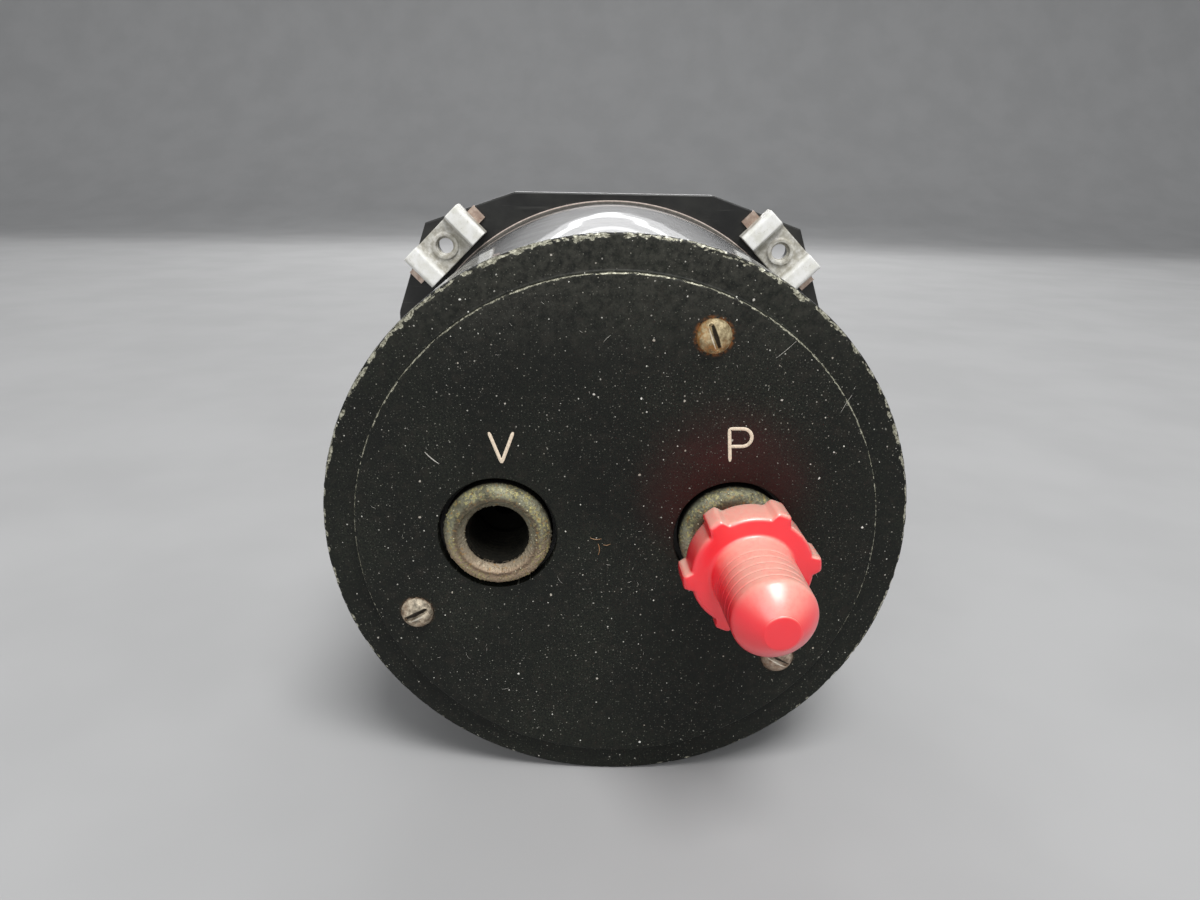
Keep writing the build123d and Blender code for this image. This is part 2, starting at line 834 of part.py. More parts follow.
# Pressure tube, a flattened C of thin wall
with BuildPart() as bourdon_tube:
    with BuildSketch(Plane.XY):
        with Locations((tube_circle, -tube_centre_depth)):
            SlotOverall(2 * tube_half_width, 2 * tube_half_radial, rotation=90)
            SlotOverall(
                2 * (tube_half_width - tube_wall),
                2 * (tube_half_radial - tube_wall),
                rotation=90,
                mode=Mode.SUBTRACT,
            )
    revolve(axis=turn_axis, revolution_arc=tube_end - tube_start)
bourdon_tube.part = bourdon_tube.part.rotate(turn_axis, tube_start)
bourdon_tube.part.label = "bourdon_tube"
export_step(bourdon_tube.part, "parts/bourdon_tube.step")

# Closed end of the tube, with a tongue that enters it and a face for the link pin
with BuildPart() as tube_tip:
    with BuildSketch(Plane.XY):
        with Locations((tube_circle - block_inset, -tube_centre_depth)):
            Rectangle(block_radial, block_width)
    revolve(axis=turn_axis, revolution_arc=tip_sweep)
    with BuildSketch(Plane.XY):
        with Locations((tube_circle, -tube_centre_depth)):
            SlotOverall(
                2 * (tube_half_width - tube_wall - tongue_gap),
                2 * (tube_half_radial - tube_wall - tongue_gap),
                rotation=90,
            )
    revolve(axis=turn_axis, revolution_arc=-tongue_sweep)
tube_tip.part = tube_tip.part.rotate(turn_axis, tip_start)
tube_tip.part.label = "tube_tip"
export_step(tube_tip.part, "parts/tube_tip.step")

# Shouldered pin from the tube end to the link
tip_shoulder = link_back + pin_end_play
tip_head_back = link_front - pin_end_play
with BuildPart() as tip_pin:
    with BuildSketch(rear_plane(tip_block_front)):
        with Locations(tip_centre):
            Circle(tip_shoulder_radius)
    extrude(amount=tip_shoulder - tip_block_front)
    with BuildSketch(rear_plane(tip_shoulder)):
        with Locations(tip_centre):
            Circle(link_pin_radius)
    extrude(amount=tip_head_back - tip_shoulder)
    with BuildSketch(rear_plane(tip_head_back)):
        with Locations(tip_centre):
            Circle(pin_head_radius)
    extrude(amount=-pin_head_thickness)
tip_pin.part.label = "tip_pin"
export_step(tip_pin.part, "parts/tip_pin.step")

# Port base: both port rings, their inner bosses, the support posts and the tube socket
with BuildPart() as port_base:
    with BuildSketch(rear_plane(base_front)):
        Circle(base_radius)
    extrude(amount=base_thickness)
    with BuildSketch(rear_plane(base_rear)):
        with Locations((-port_offset, 0), (port_offset, 0)):
            Circle(port_ring_radius)
    extrude(amount=port_mouth - base_rear)
    ring_rims = port_base.edges().filter_by(GeomType.CIRCLE).sort_by(Axis.Y)[:2]
    fillet(ring_rims, port_ring_round)
    with BuildSketch(rear_plane(base_front)):
        with Locations((-port_offset, 0), (port_offset, 0)):
            Circle(boss_radius)
    extrude(amount=boss_front - base_front)
    with BuildSketch(rear_plane(base_front)):
        Rectangle(2 * port_offset, 2 * web_half_height)
    extrude(amount=web_front - base_front)
    with BuildSketch(rear_plane(base_front)):
        for angle in post_angles:
            with Locations(polar(post_circle, angle)):
                Circle(post_radius)
    extrude(amount=rear_plate_back - base_front)
    with BuildSketch(rear_plane(base_front)):
        with Locations(socket_centre):
            Rectangle(socket_x_high - socket_x_low, 2 * socket_half_height)
    extrude(amount=socket_front - base_front)
    with BuildSketch(rear_plane(port_mouth)):
        with Locations((-port_offset, 0), (port_offset, 0)):
            Circle(port_bore)
    extrude(amount=-port_bore_depth, mode=Mode.SUBTRACT)
    with BuildSketch(rear_plane(port_mouth)):
        with Locations((-port_offset, 0), (port_offset, 0)):
            Circle(port_bore + port_lead)
    extrude(amount=-port_lead, taper=45, mode=Mode.SUBTRACT)
    with BuildSketch(rear_plane(port_bore_end)):
        with Locations((-port_offset, 0)):
            Circle(vent_radius)
    extrude(amount=boss_front - port_bore_end, mode=Mode.SUBTRACT)
    with BuildSketch(rear_plane(port_bore_end)):
        with Locations((duct_x, 0)):
            Circle(duct_radius)
    extrude(amount=tube_centre_depth - duct_radius - port_bore_end, mode=Mode.SUBTRACT)
    with BuildSketch(rear_plane(port_bore_end)):
        with Locations((duct_x, 0)):
            Circle(restrictor_radius)
    extrude(amount=-restrictor_length, mode=Mode.SUBTRACT)
    with BuildSketch(Plane.XY.offset(-duct_radius)):
        with Locations((cross_duct_x, -tube_centre_depth)):
            Circle(duct_radius)
    extrude(amount=cross_duct_length, mode=Mode.SUBTRACT)
    with BuildSketch(rear_plane(rear_plate_back)):
        for angle in post_angles:
            with Locations(polar(post_circle, angle)):
                Circle(movement_screw_shank + thread_gap)
    extrude(amount=movement_tapping_depth, mode=Mode.SUBTRACT)
    with BuildSketch(rear_plane(base_front)):
        for angle in back_screw_angles:
            with Locations(polar(back_screw_circle, angle)):
                Circle(back_screw_shank + thread_gap)
    extrude(amount=base_thickness, mode=Mode.SUBTRACT)
    with BuildSketch(Plane.XY.rotated((0, -tube_start, 0))):
        with Locations((tube_circle, -tube_centre_depth)):
            SlotOverall(
                2 * tube_half_width + socket_gap, 2 * tube_half_radial + socket_gap, rotation=90
            )
    revolve(axis=turn_axis, revolution_arc=socket_sweep, mode=Mode.SUBTRACT)
port_base.part.label = "port_base"
export_step(port_base.part, "parts/port_base.step")

# Gasket between the port base and the case back
with BuildPart() as base_gasket:
    with BuildSketch(rear_plane(base_rear)):
        Circle(base_radius)
        with Locations((-port_offset, 0), (port_offset, 0)):
            Circle(port_ring_radius + ring_gap, mode=Mode.SUBTRACT)
        for angle in back_screw_angles:
            with Locations(polar(back_screw_circle, angle)):
                Circle(back_screw_shank + screw_hole_gap, mode=Mode.SUBTRACT)
    extrude(amount=base_gasket_thickness)
base_gasket.part.label = "base_gasket"
export_step(base_gasket.part, "parts/base_gasket.step")

# Restrictor screw with a fine orifice at the mouth of the pressure duct
with BuildPart() as restrictor:
    with BuildSketch(rear_plane(port_bore_end)):
        with Locations((duct_x, 0)):
            Circle(restrictor_radius - thread_gap)
            Circle(restrictor_orifice, mode=Mode.SUBTRACT)
    extrude(amount=screw_hole_gap - restrictor_length)
    with BuildSketch(rear_plane(port_bore_end)):
        with Locations((duct_x, 0)):
            Rectangle(3 * restrictor_radius, restrictor_slot)
    extrude(amount=-restrictor_slot_depth, mode=Mode.SUBTRACT)
restrictor.part.label = "restrictor"
export_step(restrictor.part, "parts/restrictor.step")

# Back screws, domed heads with a slot that stops short of the edge
for index, (angle, slot_angle) in enumerate(zip(back_screw_angles, back_screw_slots), start=1):
    centre = polar(back_screw_circle, angle)
    with BuildPart() as back_screw:
        with BuildSketch(rear_plane(case_back)):
            with Locations(centre):
                Circle(back_head_radius)
        extrude(amount=back_head_height)
        fillet(back_screw.edges().sort_by(Axis.Y)[0], back_head_round)
        with BuildSketch(rear_plane(case_back)):
            with Locations(centre):
                Circle(back_screw_shank)
        extrude(amount=base_front - case_back - back_screw_overrun)
        with BuildSketch(rear_plane(case_back + back_head_height)):
            with Locations(centre):
                SlotOverall(back_slot_length, back_slot_width, rotation=slot_angle)
        extrude(amount=-back_slot_depth, mode=Mode.SUBTRACT)
    back_screw.part.label = f"back_screw_{index}"
    export_step(back_screw.part, f"parts/back_screw_{index}.step")

# Clip nuts: a threaded web between two raised ends, with the spring strip under it
for index, corner in enumerate(corner_angles, start=1):
    hole_x, hole_z = polar(clip_circle, corner)
    along_x, along_z = polar(1.0, corner - 90)
    out_x, out_z = polar(1.0, corner)
    seat = Plane(origin=(hole_x, -flange_rear, hole_z), x_dir=(along_x, 0, along_z), z_dir=(0, -1, 0))
    outer_side = Plane(
        origin=(hole_x + out_x * clip_width / 2, -flange_rear, hole_z + out_z * clip_width / 2),
        x_dir=(along_x, 0, along_z),
        z_dir=(-out_x, 0, -out_z),
    )
    with BuildPart() as clip_nut:
        with BuildSketch(outer_side):
            with BuildLine():
                half = clip_length / 2
                Polyline(
                    (-half, clip_strip_thickness),
                    (half, clip_strip_thickness),
                    (half, clip_end_height),
                    (clip_recess_high, clip_end_height),
                    (clip_recess_low, clip_web_height),
                    (-clip_recess_low, clip_web_height),
                    (-clip_recess_high, clip_end_height),
                    (-half, clip_end_height),
                    close=True,
                )
            make_face()
        extrude(amount=clip_width)
        crests = clip_nut.edges().filter_by(Axis(origin=(0, 0, 0), direction=(out_x, 0, out_z)))
        crest_y = -flange_rear - clip_end_height
        outer_crests = crests.filter_by(lambda e: abs(e.center().Y - crest_y) < near)
        ends = outer_crests.sort_by(Axis((0, 0, 0), (along_x, 0, along_z)))
        fillet([ends[0], ends[-1]], clip_edge_round)
        with BuildSketch(seat.offset(clip_web_height)):
            Circle(clip_ring_radius)
        extrude(amount=clip_ring_height)
        with BuildSketch(seat):
            Circle(clip_thread_radius)
        extrude(amount=clip_end_height, mode=Mode.SUBTRACT)
    clip_nut.part.label = f"clip_nut_{index}"
    export_step(clip_nut.part, f"parts/clip_nut_{index}.step")
    with BuildPart() as clip_strip:
        with BuildSketch(seat):
            Rectangle(clip_length - 2 * strip_inset, clip_width - strip_inset)
            Rectangle(strip_length, strip_width)
            Circle(panel_hole_radius, mode=Mode.SUBTRACT)
        extrude(amount=clip_strip_thickness)
    clip_strip.part.label = f"clip_strip_{index}"
    export_step(clip_strip.part, f"parts/clip_strip_{index}.step")

# Protective plug: hollow shank, eared collar, threaded stem and conical nose
plug_plane = Plane(
    origin=plug_entry, x_dir=(1, plug_lean_x, 0), z_dir=(plug_lean_x, -1, plug_lean_z)
)
with BuildPart() as plug_blank:
    with BuildSketch(Plane.XZ):
        with BuildLine():
            valley = plug_stem_radius - plug_thread_depth
            half_profile = [
                (0, plug_nose_end),
                (plug_nose_radius, plug_nose_end),
                (plug_stem_radius, plug_stem_end),
            ]
            for turn in range(plug_thread_turns):
                top = plug_thread_end - turn * plug_thread_pitch
                half_profile.append((plug_stem_radius, top - plug_crest_share * plug_thread_pitch))
                half_profile.append((valley, top - plug_valley_start * plug_thread_pitch))
                half_profile.append((valley, top - plug_valley_end * plug_thread_pitch))
                half_profile.append((plug_stem_radius, top - plug_thread_pitch))
            half_profile += [
                (plug_stem_radius, plug_collar_end),
                (plug_collar_radius, plug_collar_end),
                (plug_collar_radius, plug_collar_start),
                (plug_shank_radius, plug_collar_start),
                (plug_shank_radius, plug_lead - plug_shank_length),
                (plug_shank_radius - plug_lead, -plug_shank_length),
                (0, -plug_shank_length),
            ]
            Polyline(*half_profile, close=True)
        make_face()
    revolve(axis=Axis.Z)
    with BuildSketch(Plane.XY.offset(plug_collar_start + plug_ear_inset)):
        for ear in range(plug_ear_count):
            angle = plug_ear_phase + ear * 360 / plug_ear_count
            with Locations(polar(plug_ear_radius - plug_ear_length / 2, angle)):
                RectangleRounded(plug_ear_length, plug_ear_width, plug_ear_round, rotation=angle)
    extrude(amount=plug_collar_end - plug_collar_start - 2 * plug_ear_inset)
    nose_rim = plug_blank.edges().filter_by(GeomType.CIRCLE).sort_by(Axis.Z)[-1]
    fillet(nose_rim, plug_nose_round)
    with BuildSketch(Plane.XY.offset(-plug_shank_length)):
        Circle(plug_bore)
    extrude(amount=plug_bore_end + plug_shank_length, mode=Mode.SUBTRACT)
protective_plug = plug_plane.location * plug_blank.part
protective_plug.label = "protective_plug"
export_step(protective_plug, "parts/protective_plug.step")
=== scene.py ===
"""Looks of a panel instrument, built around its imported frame.

Lengths are in millimetres, and MM turns them into metres. Lamps and floor are in metres.
"""

import math
import random
from math import cos, pi, radians, sin

import bmesh
import bpy
from mathutils import Matrix, Vector, noise


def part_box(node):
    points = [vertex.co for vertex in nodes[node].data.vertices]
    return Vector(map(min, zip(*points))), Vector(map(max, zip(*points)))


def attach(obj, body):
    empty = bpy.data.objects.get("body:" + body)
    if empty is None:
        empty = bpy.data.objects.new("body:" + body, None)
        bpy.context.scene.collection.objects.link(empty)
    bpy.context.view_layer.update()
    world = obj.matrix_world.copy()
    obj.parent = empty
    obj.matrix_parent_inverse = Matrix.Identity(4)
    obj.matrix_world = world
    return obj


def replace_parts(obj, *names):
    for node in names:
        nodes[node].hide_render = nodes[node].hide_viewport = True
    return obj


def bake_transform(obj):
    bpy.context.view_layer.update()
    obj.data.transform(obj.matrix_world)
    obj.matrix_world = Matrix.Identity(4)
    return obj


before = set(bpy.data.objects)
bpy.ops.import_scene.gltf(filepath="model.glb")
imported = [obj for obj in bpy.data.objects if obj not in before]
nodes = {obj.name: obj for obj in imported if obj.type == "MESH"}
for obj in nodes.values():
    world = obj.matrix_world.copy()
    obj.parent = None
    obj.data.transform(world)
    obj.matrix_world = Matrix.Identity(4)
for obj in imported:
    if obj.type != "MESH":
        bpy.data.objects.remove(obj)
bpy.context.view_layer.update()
MM = 0.001
TAU = 2 * pi


# Camera at the photograph's viewpoint
CAMERA_PLACE = (-3.249, -164.77, 48.835)
# Elevation, azimuth and roll
CAMERA_TURN_DEG = (19.619, -0.543, 1.094)
LENS_PER_WIDTH = 840.26 / 1200
SENSOR_WIDTH = 36.0


def add_object(name, data):
    made = bpy.data.objects.new(name, data)
    bpy.context.scene.collection.objects.link(made)
    return made


def place_camera():
    data = bpy.data.cameras.new("camera")
    data.sensor_width = SENSOR_WIDTH
    data.lens = LENS_PER_WIDTH * SENSOR_WIDTH
    data.clip_start = 0.005
    camera = add_object("camera", data)
    el, az, roll = (radians(turn) for turn in CAMERA_TURN_DEG)
    back = Vector((sin(az) * cos(el), -cos(az) * cos(el), sin(el)))
    right = Vector((cos(az), sin(az), 0))
    up = back.cross(right)
    rolled_right = right * cos(roll) + up * sin(roll)
    rolled_up = up * cos(roll) - right * sin(roll)
    facing = Matrix((rolled_right, rolled_up, back)).transposed().to_4x4()
    camera.matrix_world = Matrix.Translation(Vector(CAMERA_PLACE) * MM) @ facing
    bpy.context.scene.camera = camera


place_camera()


# Shader building blocks. A socket argument may be a number, a colour or another node's output.
class Shader:
    def __init__(self, name):
        self.material = bpy.data.materials.new(name)
        self.material.use_nodes = True
        self.tree = self.material.node_tree
        self.tree.nodes.clear()
        self.output = self.node("OutputMaterial")
        places = self.node("TexCoord").outputs
        self.coords, self.normal = places["Object"], places["Normal"]
        self.axis = self.node("SeparateXYZ", {"Vector": self.coords}).outputs

    def node(self, kind, inputs=None, **settings):
        made = self.tree.nodes.new("ShaderNode" + kind)
        for key, value in settings.items():
            setattr(made, key, value)
        for key, value in (inputs or {}).items():
            self.feed(made.inputs[key], value)
        return made

    def feed(self, socket, value):
        if isinstance(value, bpy.types.NodeSocket):
            self.tree.links.new(value, socket)
        elif isinstance(value, tuple) and len(value) == 3 and socket.type == "RGBA":
            socket.default_value = (*value, 1.0)
        else:
            socket.default_value = value

    def math(self, operation, a, b=0.0):
        return self.node("Math", {0: a, 1: b}, operation=operation).outputs[0]

    def times(self, a, b):
        return self.math("MULTIPLY", a, b)

    def plus(self, a, b):
        return self.math("ADD", a, b)

    def minus(self, a, b):
        return self.math("SUBTRACT", a, b)

    def length(self, a, b):
        return self.math("SQRT", self.plus(self.times(a, a), self.times(b, b)))

    def dot(self, a, b):
        return self.node("VectorMath", {0: a, 1: b}, operation="DOT_PRODUCT").outputs["Value"]

    def ramp(self, value, low, high, to_low=0.0, to_high=1.0):
        inputs = {"Value": value, "From Min": low, "From Max": high, "To Min": to_low, "To Max": to_high}
        return self.node("MapRange", inputs, interpolation_type="SMOOTHSTEP").outputs["Result"]

    def noise(self, size, detail=4.0, rough=0.55, stretch=None, seed=0.0):
        vector = self.coords
        if stretch or seed:
            shift = (seed, seed * 0.7, seed * 1.3)
            inputs = {"Vector": vector, "Scale": stretch or (1, 1, 1), "Location": shift}
            vector = self.node("Mapping", inputs).outputs[0]
        inputs = {"Vector": vector, "Scale": 1 / (size * MM), "Detail": detail, "Roughness": rough}
        return self.node("TexNoise", inputs).outputs["Fac"]

    def cells(self, vector, cell, shift, dimensions="3D"):
        """Scattered cells: the distance to a cell's middle, and three chances for each cell."""
        moved = self.node("Mapping", {"Vector": vector, "Location": shift}).outputs[0]
        inputs = {"Vector": moved, "Scale": 1 / (cell * MM)}
        made = self.node("TexVoronoi", inputs, voronoi_dimensions=dimensions)
        chances = self.node("SeparateColor", {"Color": made.outputs["Color"]})
        return made.outputs["Distance"], chances.outputs

    def specks(self, cell, radius, share, seed=0.0):
        """Round dots, one at most in each cell, in a share of the cells."""
        distance, chance = self.cells(self.coords, cell, (seed, seed * 1.7, seed * 0.3))
        dot = self.math("LESS_THAN", distance, self.times(chance[1], radius))
        return self.times(dot, self.math("GREATER_THAN", chance[0], 1.0 - share))

    def dust(self, cell, radius, share, seed):
        """Uneven flecks on planes that face Y, one at most in each cell, and a chance for each."""
        flat = self.node("CombineXYZ", {"X": self.axis["X"], "Y": self.axis["Z"]})
        distance, chance = self.cells(flat.outputs[0], cell, (seed, seed * 1.7, 0.0), "2D")
        chosen = self.math("GREATER_THAN", chance[0], self.minus(1.0, share))
        largest = radius / cell
        size = self.ramp(chance[1], 0.0, 1.0, 0.35 * largest, largest)
        wobble = self.minus(self.noise(0.16, 2, 0.6, seed=seed), 0.5)
        uneven = self.times(wobble, 1.5 * largest)
        inside = self.minus(size, self.plus(distance, uneven))
        return self.times(self.ramp(inside, 0.0, 0.25 * largest), chosen), chance[2]

    def mix(self, amount, first, second, kind="RGBA"):
        inputs = {"Factor": amount, "A": first, "B": second}
        return self.node("Mix", inputs, data_type=kind).outputs["Result"]

    def blend(self, amount, first, second):
        return self.mix(amount, first, second, "FLOAT")

    def bump(self, height, depth, strength=1.0, below=None):
        inputs = {"Height": height, "Strength": strength, "Distance": depth * MM}
        if below is not None:
            inputs["Normal"] = below
        return self.node("Bump", inputs).outputs["Normal"]

    def finish(self, **sockets):
        inputs = {key.replace("_", " "): value for key, value in sockets.items()}
        return self.show(self.node("BsdfPrincipled", inputs))

    def show(self, surface):
        self.tree.links.new(surface.outputs[0], self.output.inputs["Surface"])
        return self.material


def near(s, x, z, low, high):
    """1 within low of a line along Y, fading to 0 at high."""
    dx = s.minus(s.axis["X"], x * MM)
    dz = s.minus(s.axis["Z"], z * MM)
    return s.ramp(s.length(dx, dz), low * MM, high * MM, 1.0, 0.0)


def middle(node):
    """A node's place on planes that face Y."""
    low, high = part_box(node)
    return (low.x + high.x) / 2 / MM, (low.z + high.z) / 2 / MM


SLOT_TAPER, SLOT_SOFT = 0.08, 0.07


def slot_mask(s, x, z, degrees, half_width, half_length, shift):
    """1 inside a straight slot that lies across Y at the given slope."""
    dx = s.minus(s.axis["X"], x * MM)
    dz = s.minus(s.axis["Z"], z * MM)
    run, rise = polar(1, degrees)
    along = s.plus(s.times(dx, run), s.times(dz, rise))
    across = s.minus(s.times(dz, run), s.times(dx, rise))
    across = s.math("ABSOLUTE", s.minus(across, shift * MM))
    along = s.math("ABSOLUTE", along)
    narrowing = s.plus(across, s.times(along, SLOT_TAPER))
    sides = [
        s.ramp(distance, (half + SLOT_SOFT) * MM, (half - SLOT_SOFT) * MM)
        for distance, half in ((narrowing, half_width), (along, half_length))
    ]
    return s.times(*sides)


# Mesh building blocks
def new_piece(name, mesh, material, smooth_degrees=35.0, body="case"):
    mesh.materials.clear()
    mesh.materials.append(material)
    mesh.shade_smooth()
    mesh.set_sharp_from_angle(angle=radians(smooth_degrees))
    piece = add_object(name, mesh)
    if body:
        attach(piece, body)
    return piece


def mesh_from(bm, name, turn_outward=True):
    if turn_outward:
        bmesh.ops.recalc_face_normals(bm, faces=bm.faces)
    mesh = bpy.data.meshes.new(name)
    bm.to_mesh(mesh)
    bm.free()
    return mesh


def evaluated(holder):
    """The mesh of an object as its modifiers or its text make it."""
    graph = bpy.context.evaluated_depsgraph_get()
    return bpy.data.meshes.new_from_object(holder.evaluated_get(graph))


def skin(bm, rows, inward=False):
    """Joins each ring of vertices to the next by faces that look outward, or inward."""
    for row, after in zip(rows, rows[1:]):
        for step in range(len(row)):
            far = (step + 1) % len(row)
            if inward:
                bm.faces.new((row[step], after[step], after[far], row[far]))
            else:
                bm.faces.new((row[step], row[far], after[far], after[step]))


def spin(profile, steps, place, inward=False):
    """A bmesh and its rings, one for each (radius, y) of the profile. place gives their points."""
    bm = bmesh.new()
    angles = [TAU * step / steps for step in range(steps)]
    rows = [[bm.verts.new(place(radius, y, angle) * MM) for angle in angles] for radius, y in profile]
    skin(bm, rows, inward)
    return bm, rows


def ring(bm, x, y, z, radius, steps):
    spots = [polar(radius, 360 * step / steps) for step in range(steps)]
    return [bm.verts.new(Vector((x + u, y, z + v)) * MM) for u, v in spots]


def arc(centre, radius, start_deg, end_deg, steps):
    spread = [radians(start_deg + (end_deg - start_deg) * k / steps) for k in range(steps + 1)]
    return [(centre[0] + radius * cos(a), centre[1] + radius * sin(a)) for a in spread]


def stepped(start, end, count):
    """Even steps from start to end, without the start itself."""
    return [tuple(a + (b - a) * k / count for a, b in zip(start, end)) for k in range(1, count + 1)]


def ease(value, low, high):
    t = min(1.0, max(0.0, (value - low) / (high - low)))
    return t * t * (3 - 2 * t)


def polar(radius, degrees):
    return radius * cos(radians(degrees)), radius * sin(radians(degrees))


def sweep(bm, points, widths, section):
    """A solid of constant section along points, where widths scales the section at each point."""
    rows = []
    count = len(points)
    for index, point in enumerate(points):
        ahead = points[min(index + 1, count - 1)]
        behind = points[max(index - 1, 0)]
        along = (ahead - behind).normalized()
        side = along.cross(Vector((0, 1, 0))).normalized()
        out = side.cross(along)
        rows.append([bm.verts.new(point + (side * u + out * v) * widths[index]) for u, v in section])
    skin(bm, rows)
    bm.faces.new(rows[0][::-1])
    bm.faces.new(rows[-1])


# Case shell: turned enamelled drum with its worn rim, raised back and two port holes
DRUM_R, DRUM_BORE_R, DRUM_FRONT_Y = 39.6, 38.0, -1.85
RIM_Y, RIM_ROUND = -60.62, 0.4
PLATEAU_R, PLATEAU_Y, PLATEAU_ROUND = 35.04, -62.12, 0.25
FLOOR_Y, RECESS_R, RECESS_Y = -58.62, 33.44, -60.12
PORT_X, PORT_HOLE_R, PORT_HOLE_ROUND = 15.85, 8.0, 0.15
FIELD_R = 33.6
FRONT_BEVEL, FOOT_ROUND = 0.2, 0.25
# Chips reach from this place on the side to this radius on the flat of the rim
WORN_FROM_Y, WORN_TO_R = -58.9, 37.9
# Chips before this place press in at a slant, and those beyond it mostly along Y
CHIP_DEPTH, SLANT_END_Y = 0.11, RIM_Y + 0.35
HOLLOW_DEPTH, HOLLOW_PITCH = 0.006, 17.0
SHELL_STEPS, HOLE_STEPS, LUG_STEPS = 1080, 144, 48
LUG_PLACE_R, LUG_R, LUG_LENGTH, LUG_GAP = 36.2, 2.7, 8.0, 0.02


def chips(rng, count, degrees, length, width, offset):
    """Chips at random angles: each its angle, length, width and distance from the edge."""
    made = []
    for _ in range(count):
        long = length[0] + (length[1] - length[0]) * rng.random() ** 2
        wide = min(long, width[0] + (width[1] - width[0]) * rng.random() ** 1.6)
        made.append((radians(rng.uniform(*degrees)), long, wide, rng.uniform(*offset)))
    return made


def chip_wear(rows, profile, marks, edge, reach, wear, rng):
    """Adds chips about one edge to the wear of the vertices. The edge is its index in the profile."""
    lengths = [0.0]
    for a, b in zip(profile, profile[1:]):
        lengths.append(lengths[-1] + math.dist(a, b))
    steps = len(rows[0])
    for angle, long, wide, offset in marks:
        radius = profile[edge][0]
        spread = int(math.ceil(long / (TAU * radius / steps))) + 1
        centre = int(round(angle / TAU * steps))
        skew = rng.uniform(-0.6, 0.6)
        for index, row in enumerate(rows):
            t = lengths[index] - lengths[edge]
            if abs(t) > reach:
                continue
            for step in range(centre - spread, centre + spread + 1):
                u = (step / steps * TAU - angle) * radius + skew * (t - offset)
                value = 1.0 - (u / long) ** 2 - ((t - offset) / wide) ** 2
                key = row[step % steps]
                wear[key] = max(wear.get(key, 0.0), value)


def hollow(y):
    """How far the spun side lies under its full radius, in shallow hollows that fade out at both ends."""
    fade = ease(-y, 2.0, 8.0) * ease(-y, 58.5, 50.0)
    return HOLLOW_DEPTH * fade * (0.5 - 0.5 * cos(TAU * (y + 2.0) / HOLLOW_PITCH))


